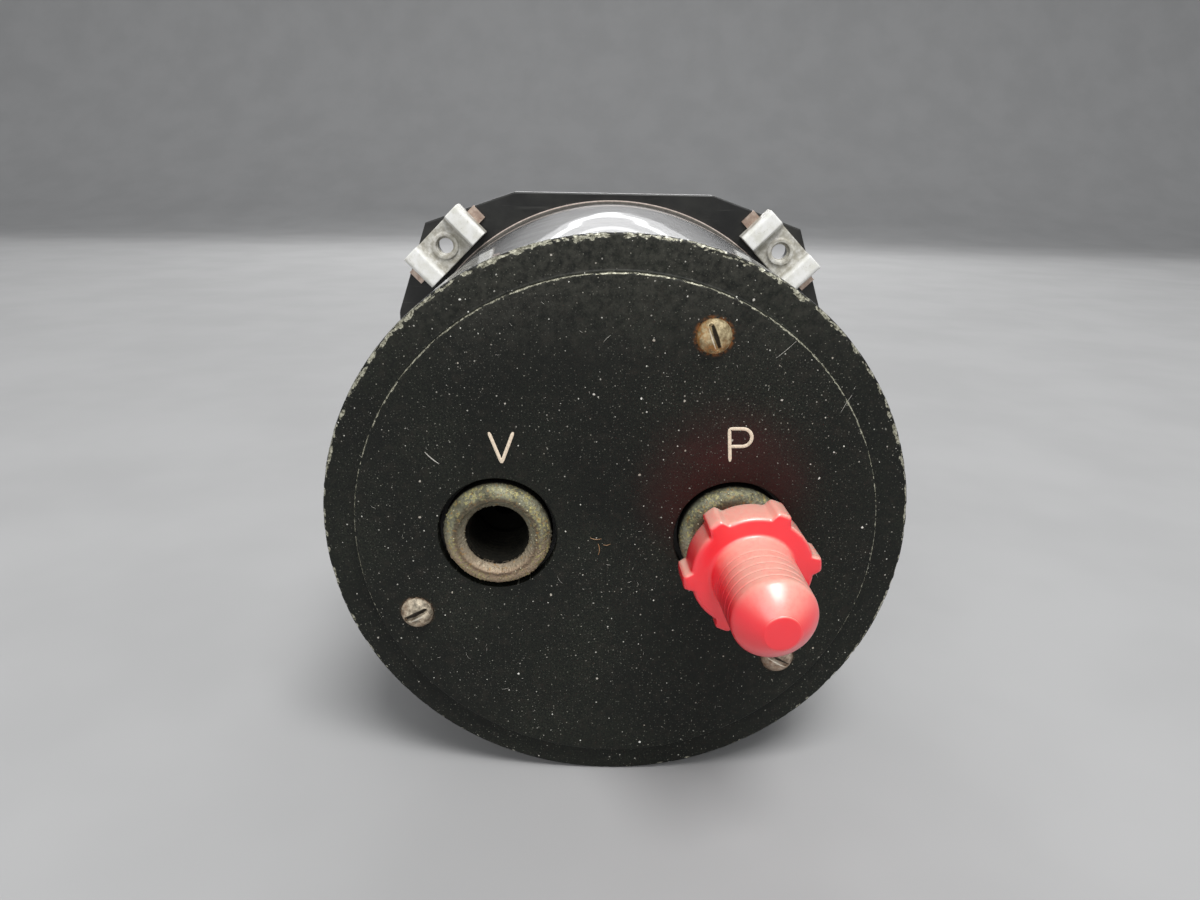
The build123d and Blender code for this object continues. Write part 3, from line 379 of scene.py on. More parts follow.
def build_shell():
    rng = random.Random(41)
    rim_centre = (DRUM_R - RIM_ROUND, RIM_Y + RIM_ROUND)
    top_centre = (PLATEAU_R - PLATEAU_ROUND, PLATEAU_Y + PLATEAU_ROUND)
    outer = [(DRUM_BORE_R, DRUM_FRONT_Y), (DRUM_R - FRONT_BEVEL, DRUM_FRONT_Y)]
    outer.append((DRUM_R, DRUM_FRONT_Y - FRONT_BEVEL))
    outer += [(DRUM_R - hollow(y), y) for _, y in stepped(outer[-1], (DRUM_R, WORN_FROM_Y), 28)]
    outer += stepped((DRUM_R, WORN_FROM_Y), (DRUM_R, RIM_Y + RIM_ROUND), 12)
    outer += arc(rim_centre, RIM_ROUND, 0, -90, 7)[1:]
    rim_middle = len(outer) - 4
    foot_r, foot_y = PLATEAU_R + FOOT_ROUND, RIM_Y - FOOT_ROUND
    outer += stepped(outer[-1], (WORN_TO_R, RIM_Y), 12) + stepped((WORN_TO_R, RIM_Y), (foot_r, RIM_Y), 4)
    outer += arc((foot_r, foot_y), FOOT_ROUND, 90, 180, 3)[1:]
    outer += stepped((PLATEAU_R, foot_y), (PLATEAU_R, PLATEAU_Y + PLATEAU_ROUND), 4)
    outer += arc(top_centre, PLATEAU_ROUND, 0, -90, 5)[1:]
    top_middle = len(outer) - 4
    outer += stepped((PLATEAU_R - PLATEAU_ROUND, PLATEAU_Y), (FIELD_R, PLATEAU_Y), 7)
    bm, rows = spin(outer, SHELL_STEPS, lambda r, y, angle: Vector((r * cos(angle), y, r * sin(angle))))
    wear = {}
    marks = chips(rng, 300, (12, 168), length=(0.12, 1.0), width=(0.08, 0.4), offset=(-0.35, 0.3))
    marks += chips(rng, 80, (45, 150), length=(0.2, 0.8), width=(0.12, 0.5), offset=(0.0, 0.5))
    marks += chips(rng, 110, (160, 215), length=(0.12, 0.8), width=(0.08, 0.32), offset=(-0.3, 0.2))
    marks += chips(rng, 110, (-38, 20), length=(0.12, 1.0), width=(0.08, 0.3), offset=(-0.3, 0.15))
    marks += chips(rng, 60, (215, 322), length=(0.1, 0.6), width=(0.06, 0.25), offset=(-0.3, 0.2))
    chip_wear(rows, outer, marks, rim_middle, reach=1.9, wear=wear, rng=rng)
    marks = chips(rng, 420, (22, 160), length=(0.1, 1.1), width=(0.06, 0.16), offset=(-0.08, 0.12))
    marks += chips(rng, 120, (-25, 25), length=(0.1, 0.7), width=(0.05, 0.13), offset=(-0.05, 0.1))
    marks += chips(rng, 110, (160, 205), length=(0.1, 0.6), width=(0.05, 0.12), offset=(-0.05, 0.1))
    chip_wear(rows, outer, marks, top_middle, reach=0.7, wear=wear, rng=rng)
    bm.normal_update()
    for vertex, value in wear.items():
        depth = CHIP_DEPTH * min(1.0, max(0.0, value) * 2.2)
        radial = Vector((vertex.co.x, 0, vertex.co.z)).normalized()
        lean = 0.5 if vertex.co.y > SLANT_END_Y * MM else 0.15
        inward = (-radial * lean + Vector((0, 1 - lean, 0))).normalized()
        vertex.co += inward * depth * MM
    field_edge = rows[-1]
    inner = [(DRUM_BORE_R, FLOOR_Y), (RECESS_R, FLOOR_Y), (RECESS_R, RECESS_Y)]
    inner_rows = [rows[0]] + [ring(bm, 0, y, 0, radius, SHELL_STEPS) for radius, y in inner]
    skin(bm, inner_rows, inward=True)
    edge_r, edge_y = PORT_HOLE_R + PORT_HOLE_ROUND, PLATEAU_Y + PORT_HOLE_ROUND
    round_edge = [(edge_r, PLATEAU_Y)] + arc((edge_r, edge_y), PORT_HOLE_ROUND, 270, 180, 4)[1:]
    round_edge.append((PORT_HOLE_R, RECESS_Y))
    walls = []
    for x in (-PORT_X, PORT_X):
        loops = [ring(bm, x, y, 0, radius, HOLE_STEPS) for radius, y in round_edge]
        skin(bm, loops, inward=True)
        walls.append(loops)

    def ring_edges(loop):
        return [bm.edges.get((a, b)) or bm.edges.new((a, b)) for a, b in zip(loop, loop[1:] + loop[:1])]

    for edge_loop, index in ((field_edge, 0), (inner_rows[-1], -1)):
        edges = ring_edges(edge_loop)
        for loops in walls:
            edges += ring_edges(loops[index])
        bmesh.ops.triangle_fill(bm, edges=edges, use_beauty=True)
    for degrees in (0, 90, 180, 270):
        x, z = polar(LUG_PLACE_R, degrees)
        ends = (DRUM_FRONT_Y - LUG_GAP, DRUM_FRONT_Y - LUG_LENGTH)
        circles = [ring(bm, x, y, z, LUG_R, LUG_STEPS) for y in ends]
        skin(bm, circles)
        for circle in circles:
            bm.faces.new(circle)
    bm.verts.index_update()
    values = [0.0] * len(bm.verts)
    for vertex, value in wear.items():
        values[vertex.index] = max(0.0, value)
    mesh = mesh_from(bm, "case_shell")
    mesh.attributes.new("wear", "FLOAT", "POINT").data.foreach_set("value", values)
    return mesh


# Plug: soft moulded cap with a lobed collar, threaded stem and blunt nose
PLUG_START = Vector((16.37, -62.25, -0.37))
PLUG_AXIS = Vector((math.tan(radians(4.29)), -1, math.tan(radians(-1.79)))).normalized()
PLUG_STEPS = 216
COLLAR_R, EAR_R, EAR_PHASE_DEG = 7.8, 8.8, 7.5
EAR_HALF_DEG, EAR_FOOT_DEG = 5.0, 10.5
SHANK_R, SHANK_TIP, SHANK_BEVEL = 3.5, -6.0, 0.3
COLLAR_LOW, LOW_ROUND, COLLAR_HIGH, HIGH_ROUND, COLLAR_FLAT_R = 4.62, 0.5, 9.2, 0.6, 6.6
STEM_R, THREAD_START, THREAD_END, THREAD_PITCH, THREAD_DEPTH = 5.0, 11.2, 19.4, 1.42, 0.07
BORE_R, BORE_END = 2.3, 17.6
NOSE_R, NOSE_LENGTH, NOSE_SWELL, NOSE_TIP, NOSE_STEPS = 2.3, 2.7, 0.14, 22.25, 16


def build_plug():
    side = Vector((0, 0, 1)).cross(PLUG_AXIS).normalized()
    up = PLUG_AXIS.cross(side)
    bevel_y = SHANK_TIP + SHANK_BEVEL
    profile = [(BORE_R, BORE_END), (BORE_R, bevel_y), (BORE_R + SHANK_BEVEL, SHANK_TIP)]
    profile += [(SHANK_R - SHANK_BEVEL, SHANK_TIP), (SHANK_R, bevel_y), (SHANK_R, 4.3)]
    profile += arc((SHANK_R + 0.3, COLLAR_LOW - 0.3), 0.3, 180, 90, 3)
    low_y, high_y = COLLAR_LOW + LOW_ROUND, COLLAR_HIGH - HIGH_ROUND
    profile.append((COLLAR_FLAT_R, COLLAR_LOW))
    profile += arc((COLLAR_R - LOW_ROUND, low_y), LOW_ROUND, -90, 0, 5)
    profile += stepped((COLLAR_R, low_y), (COLLAR_R, high_y), 5)
    profile += arc((COLLAR_R - HIGH_ROUND, high_y), HIGH_ROUND, 0, 90, 6)[1:]
    profile += [(COLLAR_FLAT_R, COLLAR_HIGH)] + arc((STEM_R + 0.9, 9.8), 0.6, 270, 180, 4)
    profile += stepped((STEM_R + 0.3, 9.8), (STEM_R + 0.15, THREAD_END - 0.5), 120)
    profile.append((STEM_R + 0.1, THREAD_END - 0.2))
    for k in range(1, NOSE_STEPS + 1):
        t = k / NOSE_STEPS
        swell = 4 * NOSE_SWELL * t * (1 - t)
        radius = STEM_R + (NOSE_R - STEM_R) * t + 0.77 * swell
        profile.append((radius, THREAD_END + NOSE_LENGTH * t + 0.63 * swell))
    profile += arc((NOSE_R - 0.35, NOSE_TIP - 0.38), 0.38, 35, 90, 5) + [(1.6, NOSE_TIP), (0.8, NOSE_TIP)]

    def place(radius, s, angle):
        r = radius
        if 4.6 < s < 9.25 and radius > 6.5:
            # six ears, so the angle from the nearest one
            swing = (math.degrees(angle) - EAR_PHASE_DEG + 30) % 60 - 30
            r += (EAR_R - COLLAR_R) * (1 - ease(abs(swing), EAR_HALF_DEG, EAR_FOOT_DEG))
        if THREAD_START < s < THREAD_END and radius > 4.0:
            turn = (s / THREAD_PITCH + angle / TAU) % 1.0
            crest = ease(0.5 - abs(turn - 0.5), 0.02, 0.15)
            fade = ease(s, THREAD_START, THREAD_START + 0.8) * ease(-s, -THREAD_END, -THREAD_END + 0.3)
            r -= THREAD_DEPTH * (1 - crest) * fade
        return PLUG_START + PLUG_AXIS * s + (side * cos(angle) + up * sin(angle)) * r

    bm, rows = spin(profile, PLUG_STEPS, place)
    bm.faces.new(rows[0])
    bm.faces.new(rows[-1])
    return mesh_from(bm, "plug_body")


# Threads cut in a hole along Y
def thread_insert(x, z, low_y, high_y, root_r, crest_r, pitch, steps=72):
    def place(radius, y, angle):
        turn = (y / pitch + angle / TAU) % 1.0
        ridge = ease(0.5 - abs(turn - 0.5), 0.05, 0.45)
        fade = ease(y, low_y, low_y + pitch) * ease(-y, -high_y, -high_y + pitch)
        r = radius - (root_r - crest_r) * ridge * fade
        return Vector((x + r * cos(angle), y, z + r * sin(angle)))

    rows_per_turn = 10
    count = int((high_y - low_y) / pitch * rows_per_turn)
    profile = [(root_r, low_y + (high_y - low_y) * index / count) for index in range(count + 1)]
    bm, _ = spin(profile, steps, place, inward=True)
    return mesh_from(bm, "thread", turn_outward=False)


# Crusted port ring over the cast one
RING_R, RING_ROUND, RING_Y, RING_FOOT_Y, RING_BORE_R, RING_LEAD = 7.2, 1.6, -63.32, -59.9, 4.35, 0.9
CRUST_LIFT, CRUST_DEPTH, RING_STEPS = 0.03, 3.0, 400


def crusted_ring(x, seed):
    lift = CRUST_LIFT
    profile = stepped((RING_R + lift, RING_FOOT_Y), (RING_R + lift, RING_Y + RING_ROUND), 10)
    profile += arc((RING_R - RING_ROUND, RING_Y + RING_ROUND), RING_ROUND + lift, 0, -90, 24)
    profile += stepped(profile[-1], (RING_BORE_R + RING_LEAD, RING_Y - lift), 5)
    profile += stepped(profile[-1], (RING_BORE_R - lift, RING_Y + RING_LEAD), 12)
    profile += stepped(profile[-1], (RING_BORE_R - lift, RING_Y + CRUST_DEPTH), 8)
    bm = bmesh.new()
    rows = []
    for index, (radius, y) in enumerate(profile):
        ahead, behind = profile[min(index + 1, len(profile) - 1)], profile[max(index - 1, 0)]
        along = Vector((ahead[0] - behind[0], ahead[1] - behind[1])).normalized()
        row = []
        for step in range(RING_STEPS):
            angle = TAU * step / RING_STEPS
            spot = Vector((radius * cos(angle) + seed, y, radius * sin(angle)))
            rough = 0.045 * noise.noise(spot * 1.1) + 0.045 * noise.noise(spot * 3.1)
            crust = ease(noise.noise(spot * 0.55 + Vector((3, 8, 1))), -0.25, 0.2)
            crumbs = max(0.0, noise.noise(spot * 4.2) - 0.1) * 0.3 * crust
            pits = max(0.0, noise.noise(spot * 2.3 + Vector((9, 4, 7))) - 0.3) * 0.2
            out = max(-lift * 0.6, min(0.16, rough + crumbs - pits))
            r, height = radius - along.y * out, y + along.x * out
            row.append(bm.verts.new(Vector((x + r * cos(angle), height, r * sin(angle))) * MM))
        rows.append(row)
    skin(bm, rows)
    return mesh_from(bm, "port_ring")


# Screw heads fall off to their edge by a share of their height, and shrink by a share of their radius
HEAD_R, HEAD_FALL, HEAD_SHRINK = 2.42, 0.6, 0.07


def softened(node, voxel, rounds, rough, rough_size, domed=False):
    """A copy of a CAD node with rounded edges and a rough surface, and a domed head if it is a screw."""
    bm = bmesh.new()
    bm.from_mesh(nodes[node].data)
    bmesh.ops.remove_doubles(bm, verts=bm.verts, dist=2e-6)
    holder = add_object("soft_" + node, mesh_from(bm, "soft_" + node))
    remesh = holder.modifiers.new("voxels", "REMESH")
    remesh.mode = "VOXEL"
    remesh.voxel_size = voxel * MM
    remesh.use_smooth_shade = True
    smooth = holder.modifiers.new("smooth", "SMOOTH")
    smooth.iterations = rounds
    smooth.factor = 0.5
    made = evaluated(holder)
    bpy.data.objects.remove(holder)
    places = [vertex.co.copy() for vertex in made.vertices]
    outward = [normal.vector.copy() for normal in made.vertex_normals]
    x, z = middle(node)
    flat = []
    for place, out in zip(places, outward):
        spot = place / (rough_size * MM)
        push = noise.noise(spot) * 0.6 + noise.noise(spot * 2.7) * 0.4
        place = place + out * push * rough * MM
        height = PLATEAU_Y * MM - place.y
        if domed and height > 0:
            out_r = min(1.0, math.hypot(place.x - x * MM, place.z - z * MM) / (HEAD_R * MM))
            dome = 1 - HEAD_FALL + HEAD_FALL * math.sqrt(1 - 0.98 * out_r * out_r)
            place.y = PLATEAU_Y * MM - height * dome
            place.x += (x * MM - place.x) * HEAD_SHRINK
            place.z += (z * MM - place.z) * HEAD_SHRINK
        flat.extend(place)
    made.vertices.foreach_set("co", flat)
    made.update()
    return made


# Materials
def chipped(s, paint, rough, relief, **more):
    """Finishes a painted look, with bare metal where the wear of the mesh has chipped the paint."""
    worn = s.node("Attribute", attribute_name="wear").outputs["Fac"]
    ragged = s.plus(worn, s.times(s.minus(s.noise(0.4, 5, 0.75), 0.5), 2.4))
    bare = s.times(s.ramp(ragged, 0.3, 0.45), s.math("GREATER_THAN", worn, 0.002))
    steel = s.mix(s.ramp(s.noise(0.35, 4, 0.7), 0.35, 0.65), (0.11, 0.105, 0.07), (0.56, 0.545, 0.43))
    return s.finish(
        Base_Color=s.mix(bare, paint, steel),
        Roughness=s.blend(bare, rough, 0.5),
        Metallic=s.times(bare, 0.45),
        Normal=s.bump(bare, 0.03, -1.0, relief),
        **more,
    )


def enamel_gloss():
    """Glossy black enamel of the drum's side."""
    s = Shader("enamel_gloss")
    film = s.ramp(s.noise(5, 4, 0.6, (1.0, 0.3, 1.0)), 0.4, 0.8)
    paint = s.mix(film, (0.004, 0.0042, 0.0048), (0.02, 0.021, 0.024))
    paint = s.mix(s.times(s.specks(1.7, 0.055, 0.3, 0.02), 0.5), paint, (0.3, 0.3, 0.28))
    rough = s.ramp(s.noise(6, 4), 0.3, 0.7, 0.34, 0.44)
    waves = s.bump(s.noise(9, 1, 0.4), 0.004)
    return chipped(s, paint, rough, waves, Specular_IOR_Level=0.8, Coat_Weight=0.6, Coat_Roughness=0.02)


# Middle of the painted red light that stands for the light the plug throws on the paint
PLUG_GLOW = (14.5, 7.0)


def enamel_back():
    """Dull black enamel of the back face under dust, rusty round its screws, paler in patches towards the
    top, with painted red light near the plug.
    """
    s = Shader("enamel_dusty")
    cloud = s.noise(11, 5, 0.6)
    grain = s.noise(0.26, 3, 0.7)
    mottle = s.noise(1.3, 4, 0.65, seed=0.3)
    film = s.times(s.ramp(cloud, 0.3, 0.75, 0.25, 1.0), s.ramp(grain, 0.38, 0.7))
    paint = s.mix(film, (0.002, 0.0026, 0.0016), (0.0198, 0.0235, 0.0148))
    paint = s.mix(s.times(s.ramp(mottle, 0.48, 0.72), 0.5), paint, (0.019, 0.0165, 0.012))
    # Painted red light near the plug, standing for the light it throws on the paint.
    painted_red_light = s.times(near(s, *PLUG_GLOW, 3.5, 14.0), s.ramp(s.noise(6, 3), 0.25, 0.7, 0.5, 1.0))
    paint = s.mix(s.times(painted_red_light, 0.75), paint, (0.05, 0.0075, 0.007))
    for index, (tint, reach, strength) in enumerate(RUST, start=1):
        x, z = middle(f"back_screw_{index}")
        blotches = s.ramp(s.noise(0.5, 3, 0.6), 0.36, 0.62, 0.0, strength)
        paint = s.mix(s.times(near(s, x, z, 2.2, reach), blotches), paint, tint)
    # Paler patches towards the top of the face.
    upper = s.ramp(s.axis["Z"], 20 * MM, 38 * MM)
    paler_top = s.times(upper, s.ramp(s.noise(1.1, 6, 0.8), 0.36, 0.66, 0.0, 0.8))
    paint = s.mix(paler_top, paint, (0.05, 0.049, 0.039))
    thick = s.ramp(s.noise(13, 3, 0.6, seed=0.7), 0.3, 0.7, 0.5, 1.5)
    # From fine to coarse: cell, radius, share of the cells, seed, darkest and lightest tone
    layers = (
        (0.42, 0.085, 0.6, 0.0, (0.026, 0.027, 0.022), (0.085, 0.085, 0.068)),
        (0.95, 0.09, 0.5, 0.011, (0.07, 0.07, 0.058), (0.3, 0.29, 0.24)),
        (2.1, 0.115, 0.5, 0.023, (0.24, 0.23, 0.2), (0.72, 0.71, 0.64)),
        (6.0, 0.19, 0.4, 0.037, (0.4, 0.36, 0.3), (0.85, 0.84, 0.78)),
    )
    for cell, radius, share, seed, low, high in layers:
        fleck, chance = s.dust(cell, radius, s.times(thick, share), seed)
        paint = s.mix(fleck, paint, s.mix(s.times(chance, chance), low, high))
    rough = s.ramp(grain, 0.3, 0.7, 0.52, 0.68)
    return chipped(s, paint, rough, s.bump(grain, 0.012), Specular_IOR_Level=0.3)


def satin_black():
    """Satin black paint with light worn edges and fine scratches."""
    s = Shader("satin_black")
    flat = s.node("NewGeometry").outputs["True Normal"]
    rounded = s.node("Bevel", {"Radius": 0.22 * MM}, samples=6).outputs[0]
    edge = s.ramp(s.dot(rounded, flat), 0.985, 0.8)
    ragged = s.plus(edge, s.times(s.minus(s.noise(1.3, 5, 0.7), 0.62), 1.6))
    bare = s.times(s.ramp(ragged, 0.35, 0.75), s.ramp(edge, 0.05, 0.4))
    scratch = s.noise(0.5, 2, 0.5, (0.05, 1.0, 1.0), 0.3)
    cloud = s.noise(6, 4)
    paint = s.mix(s.ramp(cloud, 0.35, 0.75), (0.011, 0.011, 0.0105), (0.026, 0.026, 0.023))
    paint = s.mix(s.times(s.ramp(scratch, 0.66, 0.76), 0.35), paint, (0.075, 0.075, 0.068))
    paint = s.mix(s.times(s.specks(1.5, 0.07, 0.35), 0.8), paint, (0.33, 0.32, 0.28))
    colour = s.mix(bare, paint, (0.36, 0.37, 0.31))
    rough = s.blend(bare, s.ramp(s.noise(2.5, 4), 0.3, 0.7, 0.34, 0.46), 0.4)
    normal = s.bump(s.noise(0.35, 3, 0.6), 0.012)
    return s.finish(Base_Color=colour, Roughness=rough, Metallic=s.times(bare, 0.5), Normal=normal)


def matt(name, dark, light, rough, size=0.4, depth=0.02, speck=(0.3, 0.29, 0.26), share=0.2, shine=0.5):
    """A dull surface with a fine grain and a few pale specks in a share of their cells."""
    s = Shader(name)
    grain = s.noise(size, 4, 0.65)
    colour = s.mix(s.ramp(grain, 0.3, 0.72), dark, light)
    colour = s.mix(s.times(s.specks(1.4, 0.06, share), 0.6), colour, speck)
    dull, relief = s.ramp(grain, 0.3, 0.7, *rough), s.bump(grain, depth)
    return s.finish(Base_Color=colour, Roughness=dull, Specular_IOR_Level=shine, Normal=relief)


def metal(name, dark, light, rough, size, stain=None, metallic=1.0, depth=0.008):
    """A worked metal: cloudy tone, fine brush lines along Y and stains if asked for."""
    s = Shader(name)
    cloud = s.noise(size, 5, 0.6)
    lines = s.noise(0.25, 3, 0.5, (1.0, 0.1, 1.0))
    colour = s.mix(s.ramp(cloud, 0.32, 0.7), dark, light)
    colour = s.mix(s.times(s.ramp(lines, 0.45, 0.75), 0.3), colour, light)
    smear = s.ramp(s.plus(s.times(cloud, 0.5), s.times(lines, 0.5)), 0.3, 0.7, *rough)
    if stain:
        where, tone, amount = stain
        spots = s.ramp(s.noise(where, 5, 0.7, seed=0.4), 0.55, 0.72)
        colour = s.mix(s.times(spots, amount), colour, tone)
        smear = s.blend(spots, smear, 0.7)
    return s.finish(Base_Color=colour, Roughness=smear, Metallic=metallic, Normal=s.bump(lines, depth))


def port_metal():
    """Weathered brass: dull olive film under yellow-green and orange crumbs, rubbed pinkish low down, a
    tone that also paints in light there, with a painted sheen round the bore and painted shade inside it.
    """
    s = Shader("port_metal")
    cloud = s.noise(2.4, 5, 0.65)
    fine = s.noise(0.3, 4, 0.7)
    colour = s.mix(s.ramp(cloud, 0.35, 0.66), (0.11, 0.105, 0.07), (0.265, 0.265, 0.19))
    # Pinkish rubbed tone low down, which also paints in the light that the lower, upward-facing chamfer
    # catches.
    low_rub_and_light = s.times(s.ramp(s.axis["Z"], 2.0 * MM, -5.5 * MM), s.ramp(fine, 0.25, 0.65, 0.3, 1.0))
    colour = s.mix(low_rub_and_light, colour, (0.5, 0.36, 0.25))
    across = s.math("ABSOLUTE", s.minus(s.math("ABSOLUTE", s.axis["X"]), PORT_X * MM))
    reach = s.length(across, s.axis["Z"])
    # Painted sheen on the lead chamfer round the bore.
    shine = s.times(s.ramp(reach, 5.3 * MM, 4.7 * MM), s.ramp(fine, 0.25, 0.65, 0.2, 0.75))
    colour = s.mix(shine, colour, (0.24, 0.21, 0.155))
    seam = s.times(s.ramp(reach, 5.0 * MM, 5.4 * MM), s.ramp(reach, 6.1 * MM, 5.5 * MM))
    colour = s.mix(s.times(seam, s.ramp(cloud, 0.3, 0.6, 0.25, 0.8)), colour, (0.085, 0.05, 0.032))
    crust = s.ramp(s.noise(3.2, 3, 0.6, seed=0.15), 0.34, 0.58)
    crust = s.times(crust, s.ramp(reach, 5.3 * MM, 6.0 * MM, 0.12, 1.0))
    crust = s.times(crust, s.ramp(across, 0.5 * MM, 5.0 * MM, 0.45, 1.0))
    grit = s.ramp(s.noise(0.42, 3, 0.65, seed=0.21), 0.48, 0.6)
    colour = s.mix(s.times(crust, grit), colour, (0.45, 0.405, 0.175))
    ochre = s.times(s.ramp(s.noise(0.55, 3, 0.6, seed=0.5), 0.59, 0.67), 0.6)
    colour = s.mix(ochre, colour, (0.36, 0.2, 0.06))
    dark = s.ramp(s.noise(0.5, 4, 0.7, seed=0.6), 0.58, 0.7)
    colour = s.mix(s.times(dark, 0.75), colour, (0.03, 0.03, 0.018))
    grime = s.ramp(s.noise(0.2, 4, 0.8, seed=0.8), 0.5, 0.66, 0.0, 0.5)
    colour = s.mix(grime, colour, (0.06, 0.052, 0.036))
    colour = s.mix(s.specks(0.55, 0.2, 0.3), colour, (0.62, 0.58, 0.4))
    # Painted shade: darker further into the bore.
    bore_shade = s.ramp(s.axis["Y"], -62.9 * MM, -61.3 * MM)
    colour = s.mix(bore_shade, colour, (0.009, 0.008, 0.006))
    rough = s.blend(bore_shade, s.ramp(fine, 0.3, 0.7, 0.4, 0.66), 0.9)
    relief = s.bump(fine, 0.05)
    return s.finish(Base_Color=colour, Roughness=rough, Metallic=0.3, Specular_IOR_Level=0.2, Normal=relief)


def screw_metal(name, node, slot_deg, slot_size, dark, light, stain, stain_and_shade_share, rough):
    """A turned screw head with grime and painted shade in its slot and a painted highlight beside it, a
    stain towards its left edge and painted shade towards its lower edge.
    """
    s = Shader(name)
    x, z = middle(node)
    cloud = s.noise(0.9, 5, 0.65)
    lines = s.noise(0.16, 3, 0.55, (1.0, 1.0, 0.35))
    colour = s.mix(s.ramp(cloud, 0.3, 0.68), dark, light)
    colour = s.mix(s.times(s.ramp(lines, 0.52, 0.7), 0.45), colour, dark)
    # Rust stain towards the left edge, and painted shade of the light from above towards the lower edge,
    # both in the stain tone.
    left = s.ramp(s.axis["X"], (x + 0.2) * MM, (x - 2.3) * MM)
    under = s.ramp(s.axis["Z"], (z + 0.6) * MM, (z - 2.2) * MM)
    edge = s.math("MAXIMUM", left, under)
    patches = s.ramp(s.noise(0.6, 4, 0.65, seed=0.4), 0.38, 0.62, 0.15, 1.0)
    colour = s.mix(s.times(s.times(edge, patches), stain_and_shade_share), colour, stain)
    # Grime and painted shade in the slot.
    slot = slot_mask(s, x, z, slot_deg, *slot_size, 0.16)
    # Painted highlight along one side of the slot, where its wall catches the light.
    lit_slot_edge = slot_mask(s, x, z, slot_deg, 0.13, slot_size[1] - 0.1, -0.08 - slot_size[0])
    colour = s.mix(s.times(lit_slot_edge, 0.55), colour, (0.95, 0.9, 0.76))
    colour = s.mix(s.times(slot, 0.94), colour, (0.014, 0.009, 0.005))
    # Darker and browner round the foot of the head.
    skirt = s.ramp(s.axis["Y"], (PLATEAU_Y - 0.45) * MM, (PLATEAU_Y - 0.1) * MM)
    colour = s.mix(s.times(skirt, 0.7), colour, tuple(c * 0.4 for c in stain))
    smear = s.blend(slot, s.ramp(cloud, 0.3, 0.7, *rough), 0.8)
    return s.finish(Base_Color=colour, Roughness=smear, Metallic=0.25, Normal=s.bump(lines, 0.012))


def dull_plate():
    """Nickel plate dulled to a cream white, with grime and painted shade in the low web and round the hole.
    """
    s = Shader("clip_plated")
    dark, light, grime_and_shade = (0.8, 0.79, 0.71), (0.98, 0.975, 0.94), (0.26, 0.235, 0.17)
    cloud = s.noise(2.6, 5, 0.6)
    lines = s.noise(0.3, 3, 0.5, (1.0, 1.0, 0.15))
    colour = s.mix(s.ramp(cloud, 0.3, 0.62), dark, light)
    colour = s.mix(s.times(s.ramp(lines, 0.5, 0.75), 0.25), colour, dark)
    # Painted shade and grime in the low web, which the raised ends shadow.
    web = s.ramp(s.axis["Y"], (CLIP_REAR_Y + 0.2) * MM, (CLIP_REAR_Y + 1.3) * MM)
    web = s.times(web, s.ramp(s.noise(1.1, 4, 0.65, seed=0.2), 0.3, 0.65, 0.45, 1.0))
    colour = s.mix(s.times(web, 0.8), colour, grime_and_shade)
    spots = s.ramp(s.noise(0.5, 4, 0.7, seed=0.4), 0.6, 0.72)
    colour = s.mix(s.times(spots, 0.45), colour, grime_and_shade)
    rough = s.ramp(cloud, 0.3, 0.7, 0.3, 0.42)
    return s.finish(Base_Color=colour, Roughness=rough, Metallic=0.0, Normal=s.bump(lines, 0.014))


def plug_plastic():
    """Glossy translucent moulded plastic, painted paler on its upward-facing sides for the light from
    above.
    """
    s = Shader("plug_red")
    cloud = s.noise(5, 3)
    colour = s.mix(s.ramp(cloud, 0.3, 0.7), (0.98, 0.006, 0.02), (1.0, 0.016, 0.034))
    colour = s.mix(s.times(s.specks(1.1, 0.07, 0.18), 0.4), colour, (0.95, 0.6, 0.5))
    marks = s.noise(0.6, 4, 0.6)
    # Painted light: paler on the upward-facing sides.
    upward = s.dot(s.normal, (0.05, 0.0, 1.0))
    painted_top_light = s.times(s.ramp(upward, 0.12, 0.9), s.ramp(marks, 0.25, 0.6, 0.8, 1.0))
    colour = s.mix(s.times(painted_top_light, 0.72), colour, (1.0, 0.62, 0.49))
    return s.finish(
        Base_Color=colour,
        Roughness=s.ramp(marks, 0.3, 0.7, 0.28, 0.38),
        Specular_IOR_Level=0.1,
        Subsurface_Weight=0.6,
        Subsurface_Radius=(3.0 * MM, 0.6 * MM, 0.6 * MM),
        Subsurface_Scale=1.0,
        Coat_Weight=1.0,
        Coat_IOR=1.9,
        Coat_Roughness=0.35,
        Normal=s.bump(marks, 0.012),
    )


def clear_glass():
    """Flat window glass: straight-through light, and the same reflection on both faces."""
    s = Shader("window_glass")
    clear = s.node("BsdfTransparent", {"Color": (0.965, 0.985, 0.975)})
    smudge = s.ramp(s.noise(7, 4), 0.35, 0.7, 0.015, 0.05)
    mirror = s.node("BsdfAnisotropic", {"Color": (1.0, 1.0, 1.0), "Roughness": smudge})
    slant = s.node("LayerWeight", {"Blend": 0.5})
    grazing = s.math("POWER", slant.outputs["Facing"], 5.0)
    mirrored = s.plus(s.times(grazing, 0.96), 0.04)
    return s.show(s.node("MixShader", {"Fac": mirrored, 1: clear.outputs[0], 2: mirror.outputs[0]}))


def gasket():
    """Tan sheet gasket, dark grey except along its cut outer edge: the grey paints in the drum's reflection
    beside it.
    """
    s = Shader("gasket_tan")
    grain = s.noise(0.4, 4, 0.65)
    radius = s.length(s.axis["X"], s.axis["Z"])
    fresh = s.ramp(radius, (GASKET_R - 0.24) * MM, (GASKET_R - 0.12) * MM)
    # Painted reflection: the inner part's grey stands in for the drum's grey reflection beside it.
    inner_grey = s.mix(s.ramp(grain, 0.3, 0.7), (0.1, 0.092, 0.08), (0.18, 0.165, 0.14))
    clean = s.mix(s.ramp(grain, 0.3, 0.7), (0.6, 0.49, 0.42), (0.86, 0.73, 0.65))
    return s.finish(Base_Color=s.mix(fresh, inner_grey, clean), Roughness=0.7, Normal=s.bump(grain, 0.02))


